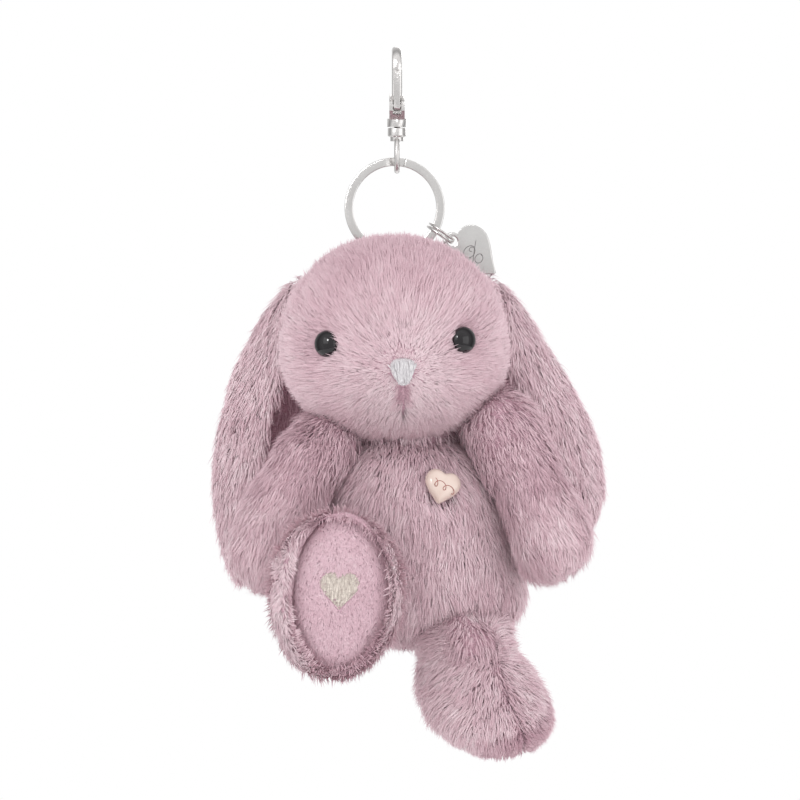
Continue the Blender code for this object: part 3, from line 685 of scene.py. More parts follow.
@dataclass(frozen=True)
class Plate(Finish):
    """Bright plated metal with clouding and hairline scratches."""

    colour: Colour = (0.80, 0.78, 0.77)
    worn: Colour = (0.66, 0.64, 0.63)
    scratch: float = 0.10

    def dress(self, tree: Tree, shader: bpy.types.Node) -> None:
        """Clouds the colour, and lets scratches roughen and lower the surface."""
        node = tree.add("ShaderNodeGroup", node_tree=handling_group())
        shade = tree.mix(node.outputs["Clouds"], (*self.colour, 1), (*self.worn, 1))
        tree.join(shade, shader.inputs["Base Color"])
        extra = tree.math("MULTIPLY", node.outputs["Scratches"], self.scratch)
        cloudy = tree.math("MULTIPLY_ADD", node.outputs["Clouds"], 0.08, self.roughness - 0.04)
        tree.join(tree.math("ADD", extra, cloudy), shader.inputs["Roughness"])
        bump = tree.add("ShaderNodeBump", invert=True)
        bump.inputs["Strength"].default_value = 0.25
        bump.inputs["Distance"].default_value = 0.00003
        tree.join(node.outputs["Scratches"], bump.inputs["Height"])
        tree.join(bump.outputs["Normal"], shader.inputs["Normal"])
        shader.inputs["Metallic"].default_value = 1.0


@dataclass(frozen=True)
class Thread(Finish):
    """Rayon embroidery thread: pale and dull fibres side by side, with a soft shine."""

    colour: Colour = (0.72, 0.70, 0.71)
    dull: Colour = (0.37, 0.35, 0.37)

    def dress(self, tree: Tree, shader: bpy.types.Node) -> None:
        """Varies the colour from thread to thread and raises the plies."""
        patch = tree.noise(tree.stretched((1, 1, 0.25)), 2600.0, 2.0)
        sharp = tree.math("MULTIPLY_ADD", patch, 2.2, -0.6)
        tree.join(tree.mix(sharp, (*self.dull, 1), (*self.colour, 1)), shader.inputs["Base Color"])
        bump = tree.add("ShaderNodeBump")
        bump.inputs["Distance"].default_value = 0.00008
        tree.join(patch, bump.inputs["Height"])
        tree.join(bump.outputs["Normal"], shader.inputs["Normal"])
        shader.inputs["Sheen Weight"].default_value = 0.1
        shader.inputs["Anisotropic"].default_value = 0.5


@dataclass(frozen=True)
class Moulded(Finish):
    """Moulded plastic, faintly marbled under a clear gloss."""

    colour: Colour = (0.8, 0.8, 0.8)
    vein: Colour = (0.7, 0.7, 0.7)
    coat: float = 0.0
    marble_scale: float = 220.0
    shine: float = 0.5

    def dress(self, tree: Tree, shader: bpy.types.Node) -> None:
        """Marbles the colour and adds tiny dents under the gloss."""
        place = tree.stretched((1, 1, 1))
        cloud = tree.noise(place, self.marble_scale, 5.0)
        tree.join(tree.mix(cloud, (*self.colour, 1), (*self.vein, 1)), shader.inputs["Base Color"])
        haze = tree.math("MULTIPLY_ADD", tree.noise(place, 700.0), 0.06, self.roughness - 0.03)
        tree.join(haze, shader.inputs["Roughness"])
        shader.inputs["Coat Weight"].default_value = self.coat
        shader.inputs["Coat Roughness"].default_value = 0.03
        shader.inputs["Specular IOR Level"].default_value = self.shine


@dataclass(frozen=True)
class Tape(Finish):
    """Woven polyester tape."""

    colour: Colour = (0.60, 0.42, 0.47)
    # Painted shade in the gaps between the threads.
    gap: Colour = (0.36, 0.22, 0.27)

    def dress(self, tree: Tree, shader: bpy.types.Node) -> None:
        """Darkens the weave's gaps with painted shade, and raises the weave."""
        node = tree.add("ShaderNodeGroup", node_tree=weave_group())
        height = node.outputs["Thread"]
        tree.join(tree.mix(height, (*self.gap, 1), (*self.colour, 1)), shader.inputs["Base Color"])
        bump = tree.add("ShaderNodeBump")
        bump.inputs["Distance"].default_value = 0.0002
        tree.join(height, bump.inputs["Height"])
        tree.join(bump.outputs["Normal"], shader.inputs["Normal"])


@dataclass(frozen=True)
class Paper(Finish):
    """The pale matte stage floor."""

    def dress(self, tree: Tree, shader: bpy.types.Node) -> None:
        """Gives the floor a faint tooth."""
        cloud = tree.noise(tree.stretched((1, 1, 1)), 40.0)
        tree.join(tree.mix(cloud, (0.86, 0.86, 0.86, 1), (0.9, 0.9, 0.9, 1)), shader.inputs["Base Color"])


ROSE_PILE = Fur("rose_pile", "plush", 0.8)
ROSE_SHORT = Fur("rose_short_pile", "short_plush", 0.8, deep=(0.455, 0.265, 0.315), middle=(0.695, 0.49, 0.55))
ROSE_BACKING = Backing("rose_backing", "plush", 0.9)
SHORT_BACKING = Backing(
    "rose_short_backing", "short_plush", 0.9, colour=(0.64, 0.43, 0.50), dark=(0.56, 0.36, 0.43)
)
NICKEL = Plate("bright_nickel", "nickel_plate", 0.16)
POLISHED = Plate("polished_nickel", "nickel_plate", 0.09, colour=(0.84, 0.83, 0.82), scratch=0.06)
# Painted shade: the engraved lines are dark metal standing in for the shade in their grooves.
ENGRAVED_SHADE = Plate("engraved_line_shade", "nickel_plate", 0.5, colour=(0.22, 0.21, 0.21), worn=(0.14, 0.13, 0.13))
SPRING = Plate("spring_wire", "spring_steel", 0.25, colour=(0.6, 0.6, 0.6), worn=(0.45, 0.45, 0.45))
SILVER = Thread("silver_floss", "silver_thread", 0.42)
CHAMPAGNE = Thread(
    "champagne_floss", "champagne_thread", 0.45, colour=(0.71, 0.645, 0.58), dull=(0.36, 0.30, 0.265)
)
JET = Moulded(
    "jet_eye", "black_eye", 0.07, colour=(0.003, 0.002, 0.003), vein=(0.007, 0.005, 0.007), coat=0.8, shine=0.15
)
MILK = Moulded("milk_washer", "white_plastic", 0.5)
PEARL = Moulded(
    "pearl_button", "pearl_plastic", 0.22, colour=(0.68, 0.57, 0.51), vein=(0.52, 0.39, 0.34), coat=0.5
)
INK = Moulded("button_ink", "pearl_plastic", 0.5, colour=(0.24, 0.06, 0.05), vein=(0.35, 0.10, 0.08))
LOOP_TAPE = Tape("loop_tape", "tape", 0.8)
FLOOR_PAPER = Paper("floor_paper", "", 0.7)


# ---------------------------------------------------------------- skins


@dataclass
class Roots:
    """Places on a skin where strands start."""

    points: Array
    normals: Array


@dataclass
class Skin:
    """A closed soft skin: rings of points between two poles."""

    name: str
    rings: Array
    poles: Array

    def net(self) -> Array:
        """The rings with each pole repeated as a ring of its own."""
        columns = self.rings.shape[1]
        ends = [np.repeat(pole[None, None], columns, axis=1) for pole in self.poles]
        return np.concatenate([ends[0], self.rings, ends[1]])

    def normals(self) -> Array:
        """Outward normals of the net: the cross product of its two central differences.

        Returns:
            A unit normal for each point of the net.
        """
        net = self.net()
        down = np.gradient(net, axis=0)
        round_it = np.roll(net, -1, 1) - np.roll(net, 1, 1)
        normal = np.cross(round_it, down)
        middle = self.rings.mean((0, 1))
        if ((net - middle) * normal).sum() < 0:
            normal = -normal
        normal = unit(normal)
        normal[0] = unit(normal[1].mean(0))
        normal[-1] = unit(normal[-2].mean(0))
        return normal

    def mesh(self, name: str | None = None) -> bpy.types.Object:
        """The skin as a mesh object."""
        return rings_mesh(name or self.name, self.rings, Ends.POLES, self.poles)

    def filled(self, pressure: float = 4.0, most: float = 0.0008, frames: int = 20, grown: float = 12.0) -> "Skin":
        """The skin after its filling has pushed it out, by a cloth simulation with gravity off.

        Args:
            pressure: The filling's push.
            most: How far a point may move, in metres.
            frames: Steps of the simulation.
            grown: How many times larger the simulated copy is, so that the push acts at its usual scale.
        """
        obj = rings_mesh(self.name + "_filling", self.rings * grown, Ends.POLES, self.poles * grown)
        cloth = obj.modifiers.new("filling", "CLOTH")
        cloth.settings.use_pressure = True
        cloth.settings.uniform_pressure_force = pressure
        cloth.settings.effector_weights.gravity = 0.0
        scene = bpy.context.scene
        for step in range(1, frames + 1):
            scene.frame_set(step)
        settled = obj.evaluated_get(bpy.context.evaluated_depsgraph_get()).to_mesh()
        points = np.zeros(len(settled.vertices) * 3, np.float32)
        settled.vertices.foreach_get("co", points)
        points = points.reshape(-1, 3).astype(float) / grown
        mesh = obj.data
        bpy.data.objects.remove(obj)
        bpy.data.meshes.remove(mesh)
        scene.frame_set(1)
        before = np.concatenate([self.rings.reshape(-1, 3), self.poles])
        move = points - before
        far = np.linalg.norm(move, axis=1, keepdims=True)
        after = before + move * np.minimum(1.0, most / np.maximum(far, 1e-9))
        LOG.info("%s filled: moved %.2f mm at most", self.name, 1000 * min(float(far.max()), most))
        return Skin(self.name, after[:-2].reshape(self.rings.shape), after[-2:])

    def roots(self, count: int, share: Field, rng: np.random.Generator) -> Roots:
        """Random places, even over the skin's area times a share.

        Args:
            count: How many.
            share: The density wanted at places, from points and normals stacked as six columns.
            rng: Source of the draws.

        Returns:
            The places and their normals, both by bilinear mixing of the net.
        """
        net, normal = self.net(), self.normals()
        beside = np.roll(net, -1, 1)
        area = np.linalg.norm(np.cross(beside[1:] - net[:-1], net[1:] - beside[:-1]), axis=-1)
        middle = (net[:-1] + net[1:] + beside[:-1] + beside[1:]) / 4
        wanted = area.ravel() * share(np.concatenate([middle, normal[:-1]], -1).reshape(-1, 6))
        cells = rng.choice(wanted.size, count, p=wanted / wanted.sum())
        i, j = np.divmod(cells, net.shape[1])
        a, b = rng.random((2, count, 1))
        a = np.where(i[:, None] == 0, np.sqrt(a), np.where(i[:, None] == len(net) - 2, 1 - np.sqrt(a), a))
        k = (j + 1) % net.shape[1]
        mixed = []
        for values in (net, normal):
            first = values[i, j] * (1 - a) + values[i + 1, j] * a
            second = values[i, k] * (1 - a) + values[i + 1, k] * a
            mixed.append(first * (1 - b) + second * b)
        return Roots(mixed[0], unit(mixed[1]))


def smoothed(obj: bpy.types.Object) -> None:
    """Subdivides a skin once, the same on screen and in the render."""
    smooth = obj.modifiers.new("smooth", "SUBSURF")
    smooth.levels = smooth.render_levels = 1


def everywhere(places: Array) -> Array:
    """The same density all over a skin."""
    return np.ones(len(places))


def facing_front(places: Array) -> Array:
    """Up to twice the density on what faces forward."""
    return 1.0 + blend(-0.2, 0.6, -places[:, 4])


# ---------------------------------------------------------------- pile


@dataclass(frozen=True)
class Pile:
    """How strands stand and lie, in metres and degrees; softness turns their shading to the skin's."""

    length: float = 0.0074
    width: float = 0.00036
    rise: float = 48.0
    fall: float = 14.0
    ruffle: float = 9.0
    drift: float = 16.0
    clump: float = 0.38
    clump_size: float = 0.0021
    tone: float = 0.58
    tone_spread: float = 0.07
    clump_tone: float = 0.075
    softness: float = 0.70


@dataclass
class Coat:
    """The pile of one skin: its look, the way it is combed, what shortens it, and the painted shade and light
    added to its tone.
    """

    skin: Skin
    finish: Fur
    pile: Pile
    comb: Field
    share: Field = facing_front
    trim: Field | None = None
    shade: Field | None = None
    keep: Field | None = None

    def grow(self, name: str, count: int) -> bpy.types.Object:
        """Roots and lays the strands as one mesh of slim closed spindles.

        Each strand has a root, three points round its widest place and a tip. The root part leaves the skin
        at the pile's rise, the tip part at its fall, both turned to the combed direction plus a slow drift
        and a little ruffle. The tips of a clump lean towards their own mean.

        Args:
            name: The piece's name.
            count: How many strands, before any are left out.

        Returns:
            The mesh, with each strand's tone and way along in its map.
        """
        rng = np.random.default_rng([SEED, *name.encode()])
        roots = self.skin.roots(count, self.share, rng)
        points, normals = roots.points, roots.normals
        if self.keep is not None:
            kept = self.keep(np.concatenate([points, normals], -1)) > rng.random(len(points))
            points, normals = points[kept], normals[kept]
        n = len(points)
        pile = self.pile
        comb = self.comb(points)
        lay = unit(comb - along(comb, normals) * normals)
        cell = np.floor(points / pile.clump_size + rng.normal(0, 0.18, (n, 3))).astype(np.int64)
        _, clump = np.unique(cell, axis=0, return_inverse=True)
        clump = clump.ravel()
        size = np.bincount(clump).astype(float)
        swing = np.radians(
            pile.drift * wander(points, 0.012, rng)
            + pile.ruffle * rng.normal(size=n)
            + 0.8 * pile.ruffle * rng.normal(size=len(size))[clump]
        )[:, None]
        lay = lay * np.cos(swing) + np.cross(normals, lay) * np.sin(swing)
        length = pile.length * rng.uniform(0.72, 1.18, n) * rng.uniform(0.86, 1.12, len(size))[clump]
        if self.trim is not None:
            length = length * self.trim(points)
        rise = np.radians(pile.rise + 9 * rng.normal(size=n))[:, None]
        fall = np.radians(pile.fall + 9 * rng.normal(size=n))[:, None]
        length = length[:, None]
        start = points - normals * 0.0004
        middle = start + (lay * np.cos(rise) + normals * np.sin(rise)) * length * 0.45
        tip = middle + (lay * np.cos(fall) + normals * np.sin(fall)) * length * 0.55
        mean_tip = np.stack([np.bincount(clump, tip[:, k]) / size for k in range(3)], -1)[clump]
        mean_middle = np.stack([np.bincount(clump, middle[:, k]) / size for k in range(3)], -1)[clump]
        pull = pile.clump * rng.uniform(0.4, 1.0, (n, 1))
        tip = tip + (mean_tip - tip) * pull
        middle = middle + (mean_middle - middle) * pull * 0.3

        heading = unit(tip - start)
        side = unit(np.cross(heading, normals))
        over = np.cross(side, heading)
        half = pile.width / 2 * rng.uniform(0.75, 1.25, (n, 1))
        ring = [middle + side * half, middle + over * half * 0.8, middle - side * half]
        strands = np.stack([start, *ring, tip], 1)

        tone = pile.tone + pile.tone_spread * rng.normal(size=n)
        tone += pile.clump_tone * rng.normal(size=len(size))[clump] + 0.06 * wander(points, 0.02, rng)
        # Painted shade and light, where the coat has them.
        if self.shade is not None:
            tone += self.shade(points)
        tone = np.clip(tone, 0.03, 0.97)[:, None]
        tones = tone + np.array([0.0, -0.012, 0.0, 0.012, 0.0])
        ways = np.broadcast_to(np.array([0.0, 0.45, 0.45, 0.45, 1.0]), (n, 5))
        uv = np.stack([tones, ways], -1).reshape(-1, 2)
        pattern = np.array([[0, 2, 1], [0, 3, 2], [0, 1, 3], [1, 2, 4], [2, 3, 4], [3, 1, 4]])
        faces = (np.arange(n)[:, None, None] * 5 + pattern).reshape(-1, 3)
        obj = put_mesh(name, strands.reshape(-1, 3), [faces], uv)
        self.finish.on(obj)
        own = np.zeros((n * 5, 3), np.float32)
        obj.data.vertices.foreach_get("normal", own.reshape(-1))
        skinward = np.repeat(normals + lay * 0.15, 5, axis=0)
        soft = unit(own * (1 - self.pile.softness) + skinward * self.pile.softness)
        corners = soft.reshape(n, 5, 3)[:, pattern]
        corners[:, [2, 5]] = -over[:, None, None]
        obj.data.normals_split_custom_set(corners.reshape(-1, 3).astype(np.float32))
        LOG.info("%s: %d strands", name, n)
        return obj


def gap_to(points: Array, place: Array) -> Array:
    """How far each point is from one place."""
    return np.linalg.norm(points - place, axis=1)


# ---------------------------------------------------------------- soft forms


@dataclass
class Egg:
    """An upright egg, as the frame's: its own height above and below its centre, squarer over power 2."""

    centre: Array
    half_width: float
    half_depth: float
    rise: float
    fall: float
    power: float = 2.0
    lean: float = 0.0

    def rings(self, inset: float, rows: int, columns: int) -> Array:
        """Level rings from just under the top to just above the bottom, moved in by inset.

        Args:
            inset: How far inside the egg's own surface.
            rows: How many rings.
            columns: Points in a ring.

        Returns:
            Rings of points.
        """
        polar = np.linspace(0, math.pi, rows + 2)[1:-1, None]
        turn = circle(columns)[None]
        flat = np.sin(polar) ** (2 / self.power)
        up = np.cos(polar)
        tall = np.where(up > 0, self.rise, self.fall) - inset
        z = np.sign(up) * abs(up) ** (2 / self.power) * tall
        x = (self.half_width - inset) * flat * np.cos(turn) + self.lean * z
        y = (self.half_depth - inset) * flat * np.sin(turn)
        return np.stack([x, y, np.broadcast_to(z, x.shape)], -1) + self.centre

    def poles(self, inset: float) -> Array:
        """The top and the bottom, moved in by inset."""
        heights = np.array([self.rise - inset, inset - self.fall])
        return self.centre + np.stack([self.lean * heights, 0 * heights, heights], -1)

    def front(self, across: float, above: float) -> tuple[Array, Array]:
        """The front surface's point and outward normal at a place seen from the front.

        Args:
            across: How far right of the centre.
            above: How far above it.

        Returns:
            The point and its unit normal.
        """
        tall = self.rise if above > 0 else self.fall
        x = across - self.lean * above
        level = (1 - abs(above / tall) ** self.power) ** (2 / self.power)
        y = -self.half_depth * math.sqrt(level - (x / self.half_width) ** 2)
        ratio = math.hypot(x / self.half_width, y / self.half_depth) ** (self.power - 2)
        up = math.copysign(abs(above / tall) ** (self.power - 1), above) / tall
        normal = unit(np.array([ratio * x / self.half_width**2, ratio * y / self.half_depth**2, up]))
        return self.centre + np.array([across, y, above]), normal


def chaikin(points: Array, rounds: int = 3) -> Array:
    """A line with its corners cut: each step replaces a corner by points a quarter along its two sides.

    Args:
        points: The line's points, with any other values as more columns.
        rounds: How often it is cut.

    Returns:
        The smoother line.
    """
    for _ in range(rounds):
        a = points[:-1] * 0.75 + points[1:] * 0.25
        b = points[:-1] * 0.25 + points[1:] * 0.75
        inner = np.stack([a, b], 1).reshape(-1, points.shape[1])
        points = np.concatenate([points[:1], inner, points[-1:]])
    return points


def respaced(points: Array, count: int, crowd: bool = False) -> Array:
    """A line again with count points even along it, or crowded to its ends by a cosine.

    Args:
        points: The line, with any other values as more columns.
        count: How many points it gets.
        crowd: Whether they crowd to the ends.

    Returns:
        The new line.
    """
    steps = np.linalg.norm(np.diff(points[:, :3], axis=0), axis=1)
    way = np.concatenate([[0.0], np.cumsum(steps)])
    t = np.linspace(0, 1, count)
    if crowd:
        t = 0.5 - 0.5 * np.cos(math.pi * t)
    return np.stack([np.interp(t * way[-1], way, column) for column in points.T], -1)


def rounded_ends(shares: Array, first: float, last: float, power: float) -> Array:
    """A width factor that closes both ends of a limb: a superellipse over the first and last shares."""
    a = 1 - np.clip(shares / first, 0, 1)
    b = 1 - np.clip((1 - shares) / last, 0, 1)
    return np.sqrt(1 - a**2) * (1 - b**power) ** (1 / power)


@dataclass
class Sleeve:
    """Cloth and pile across a sewn joint: a barrel between two bodies."""

    name: str
    parent: str
    child: str
    start: Array
    end: Array
    radius: float
    strands: int
    comb: Array
    pile: Pile = Pile(length=0.0062)

    def build(self) -> list[bpy.types.Object]:
        """Makes the barrel and its pile.

        Returns:
            The barrel and its tufts.
        """
        heading = unit(self.end - self.start)
        side = unit(np.cross(heading, UP if abs(heading[2]) < 0.8 else ACROSS))
        t = np.linspace(0, 1, 18)
        path = self.start + (self.end - self.start) * t[:, None]
        reach = self.radius * rounded_ends(np.clip(t, 0.03, 0.97), 0.3, 0.3, 2.0)
        rings = swept(path, side, round_section(1, 1, 28)[None] * reach[:, None, None])
        skin = Skin(self.name, rings, np.stack([self.start, self.end]))
        made = skin.mesh()
        ROSE_BACKING.on(made)
        coat = Coat(skin, ROSE_PILE, self.pile, lambda p: np.broadcast_to(self.comb, p.shape), everywhere)
        tufts = coat.grow(self.name + "_pile", self.strands)
        for obj in (made, tufts):
            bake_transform(obj)
        return [made, tufts]


# ---------------------------------------------------------------- embroidery


def thread_mesh(
    name: str, starts: Array, ends: Array, lift: Array, radius: float, rise: float
) -> bpy.types.Object:
    """Many short threads as one mesh: each arcs from its start to its end and is fine at both.

    The middle of a thread stands off by four times rise times t(1 - t) along lift, and its radius goes as
    the fourth root of the same product.

    Args:
        name: The piece's name.
        starts: Where threads start.
        ends: Where they end.
        lift: The direction threads bulge in, one for all.
        radius: A thread's radius in metres.
        rise: How far its middle stands off.

    Returns:
        The mesh.
    """
    t = np.array([0.0, 0.1, 0.35, 0.65, 0.9, 1.0])
    hump = 4 * t * (1 - t)
    sides = 5
    path = starts[:, None] + (ends - starts)[:, None] * t[:, None] + lift * (rise * hump)[:, None]
    heading = unit(ends - starts)
    side = unit(np.cross(heading, lift))
    turn = circle(sides)
    girth = radius * np.clip(hump, 0.12, 1) ** 0.25
    ring = side[:, None, None] * np.cos(turn)[:, None] + lift * np.sin(turn)[:, None]
    rings = path[:, :, None] + ring * girth[:, None, None]
    count, rows = len(starts), len(t)
    points = rings.reshape(-1, 3)
    quads = grid_faces(rows, sides, False)
    first, last = np.arange(sides)[::-1], np.arange((rows - 1) * sides, rows * sides)
    step = np.arange(count)[:, None, None] * rows * sides
    caps = np.stack([first, last])
    return put_mesh(name, points, [(quads + step).reshape(-1, 4), (caps + step).reshape(-1, sides)])


def heart_edge(width: float, height: float, count: int, plump: float = 0.22) -> Array:
    """A heart's edge, point down: x = sin^3 t, y from four cosines of t, part way to an oval.

    Args:
        width: Its full width.
        height: Its full height.
        count: How many points.
        plump: The way to an oval.

    Returns:
        The edge's flat points.
    """
    t = 2 * math.pi * (np.arange(count) + 0.5) / count
    x = (1 - plump) * np.sin(t) ** 3 + plump * np.sin(t)
    y = (13 * np.cos(t) - 5 * np.cos(2 * t) - 2 * np.cos(3 * t) - np.cos(4 * t)) / 14.5
    y = (1 - plump) * y + plump * np.cos(t)
    return np.stack([-x / x.max() * width / 2, ((y - y.min()) / np.ptp(y) - 0.5) * height], -1)


def inside(points: Array, edge: Array) -> Array:
    """Whether flat points lie inside a closed edge: an odd count of edges crossed to the right.

    Args:
        points: Flat points, one row each.
        edge: The closed edge's points.

    Returns:
        True for each point inside.
    """
    a, b = edge, np.roll(edge, -1, 0)
    x, y = points[:, :1], points[:, 1:]
    spans = (a[:, 1] > y) != (b[:, 1] > y)
    fall = np.where(abs(b[:, 1] - a[:, 1]) < 1e-12, 1e-12, b[:, 1] - a[:, 1])
    crossing = a[:, 0] + (y - a[:, 1]) * (b[:, 0] - a[:, 0]) / fall
    return (spans & (x < crossing)).sum(1) % 2 == 1


def domed_plate(edge: Array, front: float, back: float, rows: int, bulge: float = 0.35) -> tuple[Array, Array]:
    """A closed plate with a crowned face: rings of the edge shrunk towards its middle.

    The face's rings shrink evenly while their height goes as one less the shrinkage to the power of bulge's
    inverse, and the back is flat.

    Args:
        edge: The outline, flat.
        front: Height of the crown.
        back: Height of the back.
        rows: Rings on the face.
        bulge: How suddenly the face falls at its edge.

    Returns:
        Local rings from the face's middle to the back's middle, and the two poles.
    """
    middle = edge.mean(0)
    share = np.sin(np.linspace(0.06, 1, rows) * math.pi / 2)
    face_height = back + (front - back) * (1 - share ** (1 / bulge)) ** 0.5
    share = np.concatenate([share, [0.97, 0.5]])
    height = np.concatenate([face_height, [back, back]])
    flat = middle + (edge - middle)[None] * share[:, None, None]
    rings = np.concatenate([flat, np.broadcast_to(height[:, None, None], (*flat.shape[:2], 1))], -1)
    poles = np.array([[*middle, face_height[0]], [*middle, back]])
    return rings, poles


# ---------------------------------------------------------------- hardware


@dataclass
class Hardware:
    """Hook, swivel, split ring, charm with its small ring, and the tape loop."""

    bow_wire: float = 0.00085
    eye_span: float = 0.0033
    ring_outer: float = 0.01515
    ring_band: float = 0.0026
    ring_coil: float = 0.00105
    ring_gap: float = 0.00015
    charm_ring_reach: float = 0.0043
    charm_wire: float = 0.00042
    charm_ring_tilt: float = 35.1
    charm_tilt: float = 36.9
    charm_span: float = 0.0168
    charm_length: float = 0.0163
    charm_thick: float = 0.0012
    lug: float = 0.0028
    hole: float = 0.00144

    def build(self) -> None:
        """Makes and dresses every hard piece above the rabbit."""
        self.casting()
        self.swivel()
        self.split_ring()
        self.small_ring()
        self.heart()
        SPRING.on(frame["nodes"]["gate_spring"])
        NICKEL.on(frame["nodes"]["gate_pin"])
        LOOP_TAPE.on(frame["nodes"]["hang_loop"])

    def softened(self, node: str, name: str, body: str, width: float) -> bpy.types.Object:
        """A copy of a cast node, its loose triangles merged and its edges rounded by a bevel.

        Args:
            node: The cast node.
            name: The piece's name.
            body: The body it rides on.
            width: The bevel's width.

        Returns:
            The piece.
        """
        mesh = frame["nodes"][node].data.copy()
        mesh.name = name
        obj = bpy.data.objects.new(name, mesh)
        bpy.context.scene.collection.objects.link(obj)
        weld = obj.modifiers.new("weld", "WELD")
        weld.merge_threshold = 0.00001
        flat = obj.modifiers.new("flat", "DECIMATE")
        flat.decimate_type = "DISSOLVE"
        flat.angle_limit = math.radians(4)
        edge = obj.modifiers.new("edge", "BEVEL")
        edge.width = width
        edge.segments = 3
        edge.angle_limit = math.radians(35)
        edge.harden_normals = True
        mesh.materials.clear()
        NICKEL.on(obj)
        mesh.shade_smooth()
        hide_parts(node)
        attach(obj, body)
        return obj

    def casting(self) -> None:
        """The hook's body and gate."""
        self.softened("hook_body", "hook_casting", "hook", 0.00028)
        self.softened("hook_gate", "hook_lever", "gate", 0.00022)

    def swivel(self) -> None:
        """The turned stud with its shoulder and lip, and the wire eye below them."""
        low, high = (np.array(v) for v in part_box("swivel_eye"))
        lip_low = low[2] + 0.0089 + self.bow_wire
        top = lip_low + 0.0013 + 0.0027
        profile = eased(
            [
                (0.0002, lip_low),
                (0.00205, lip_low),
                (0.00205, lip_low + 0.0013),
                (0.0028, lip_low + 0.0016),
                (0.0028, top),
                (0.00085, top),
                (0.00085, high[2] - 0.0008),
                (0.0016, high[2] - 0.0008),
                (0.0016, high[2]),
                (0.0002, high[2]),
            ],
            0.00022,
        )
        stud = rings_mesh("swivel_stud", turned(profile, np.eye(4), 40), Ends.POLES)
        turn = circle(72)
        centre_z = (lip_low + 2 * self.bow_wire + low[2]) / 2
        tall = (lip_low - low[2]) / 2
        path = np.stack([0 * turn, self.eye_span * np.cos(turn), centre_z + tall * np.sin(turn)], -1)
        wire = round_section(self.bow_wire, self.bow_wire, 16)
        eye = rings_mesh("swivel_wire", swept(path, ACROSS, wire, loop=True), Ends.LOOP)
        for obj in (stud, eye):
            NICKEL.on(obj)
            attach(obj, "swivel")
        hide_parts("swivel_eye")

    def coil(
        self, centre: Array, across: Array, down: Array, axis: Array, radius: float, start: float, stop: float,
        jog: float, run: float, layer: float, section: Array,
    ) -> Array:
        """Rings of a split ring: a circle that shifts from one layer to the other over a short run.

        Args:
            centre: The circle's middle.
            across: Its direction a quarter turn on from down.
            down: Where angle 180 lies.
            axis: Square to both; the layers stack along it.
            radius: The circle's radius.
            start: Degrees at the first end.
            stop: Degrees at the last end.
            jog: Degrees where it starts to shift.
            run: Degrees the shift takes.
            layer: Half the distance between layers.
            section: Outward and sideways offsets.

        Returns:
            Rings of points.
        """
        angle = np.radians(np.linspace(start, stop, 260))[:, None]
        out = across * np.sin(angle) - down * np.cos(angle)
        shift = layer * (2 * blend(jog, jog + run, np.degrees(angle)) - 1)
        middle = centre + out * radius + axis * shift
        return middle[:, None] + out[:, None] * section[:, :1] + axis * section[:, 1:]

    def split_ring(self) -> None:
        """The flat split ring, two coils with softened corners."""
        low, high = (np.array(v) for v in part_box("key_ring"))
        centre = (low + high) / 2
        reach = self.ring_outer - self.ring_band / 2
        layer = (self.ring_coil + self.ring_gap) / 2
        section = round_section(self.ring_band / 2, self.ring_coil / 2, 20, 5.0)
        rings = self.coil(centre, ACROSS, -UP, np.array([0.0, 1.0, 0.0]), reach, 12, 700, 345, 23, layer, section)
        obj = rings_mesh("split_ring", rings, Ends.POLES)
        POLISHED.on(obj)
        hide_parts("key_ring")
        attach(obj, "ring")

    def small_ring(self) -> None:
        """The charm's round-wire split ring."""
        tilt = math.radians(self.charm_ring_tilt)
        heading = np.array([math.cos(tilt), 0, -math.sin(tilt)])
        centre = JOINT_AT["charm_swing"] - heading * self.charm_ring_reach
        axis = np.cross(heading, -FORWARD)
        wire = round_section(self.charm_wire, self.charm_wire, 12)
        layer = self.charm_wire + 0.00015
        rings = self.coil(centre, -FORWARD, heading, axis, self.charm_ring_reach, 200, 880, 528, 30, layer, wire)
        obj = rings_mesh("charm_split_ring", rings, Ends.POLES)
        NICKEL.on(obj)
        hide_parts("charm_ring")
        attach(obj, "charm_ring")

    def heart(self) -> None:
        """The charm: a plate lofted from its hole out to a heart with a lug, bevelled, with an engraved sprig
        whose lines are real but dark only as painted shade in the grooves.
        """
        tilt = math.radians(self.charm_tilt)
        length_axis = np.array([math.cos(tilt), 0, -math.sin(tilt)])
        hole = JOINT_AT["charm_swing"]
        place = seat(hole, FORWARD, -length_axis)
        edge = heart_edge(self.charm_span, self.charm_length, 6000) - [0, self.charm_length / 2 - 0.0002]
        sides = 180
        turn = np.arctan2(edge[:, 1], edge[:, 0]) % (2 * math.pi)
        bins = np.minimum((turn / (2 * math.pi) * sides).astype(int), sides - 1)
        reach = np.full(sides, self.lug)
        np.maximum.at(reach, bins, np.linalg.norm(edge, axis=1))
        around = 2 * math.pi * (np.arange(sides) + 0.5) / sides
        aim = np.stack([np.cos(around), np.sin(around)], -1)
        half, bevel = self.charm_thick / 2, 0.00035
        steps = [
            (1, 0.0, half - 0.0001), (1, 0.00012, half), (1, 0.0005, half),
            (0, bevel + 0.0003, half), (0, bevel, half),
            (0, bevel * 0.4, half - bevel * 0.25), (0, 0.0, half - bevel), (0, 0.0, bevel - half),
            (0, bevel * 0.4, bevel * 0.25 - half), (0, bevel, -half), (0, bevel + 0.0003, -half),
            (1, 0.0005, -half),
            (1, 0.00012, -half), (1, 0.0, 0.0001 - half),
        ]
        rings = []
        for at_hole, inset, height in steps:
            r = np.full(sides, self.hole + inset) if at_hole else reach - inset
            rings.append(np.concatenate([aim * r[:, None], np.full((sides, 1), height)], -1))
        plate = rings_mesh("charm_plate", put_in(place, np.stack(rings)), Ends.LOOP)
        POLISHED.on(plate)
        t = np.linspace(0, 1, 60)
        lines = []
        for turns, reach_x, base in ((1.6, 0.0026, -0.0062), (-1.2, 0.0021, -0.0092)):
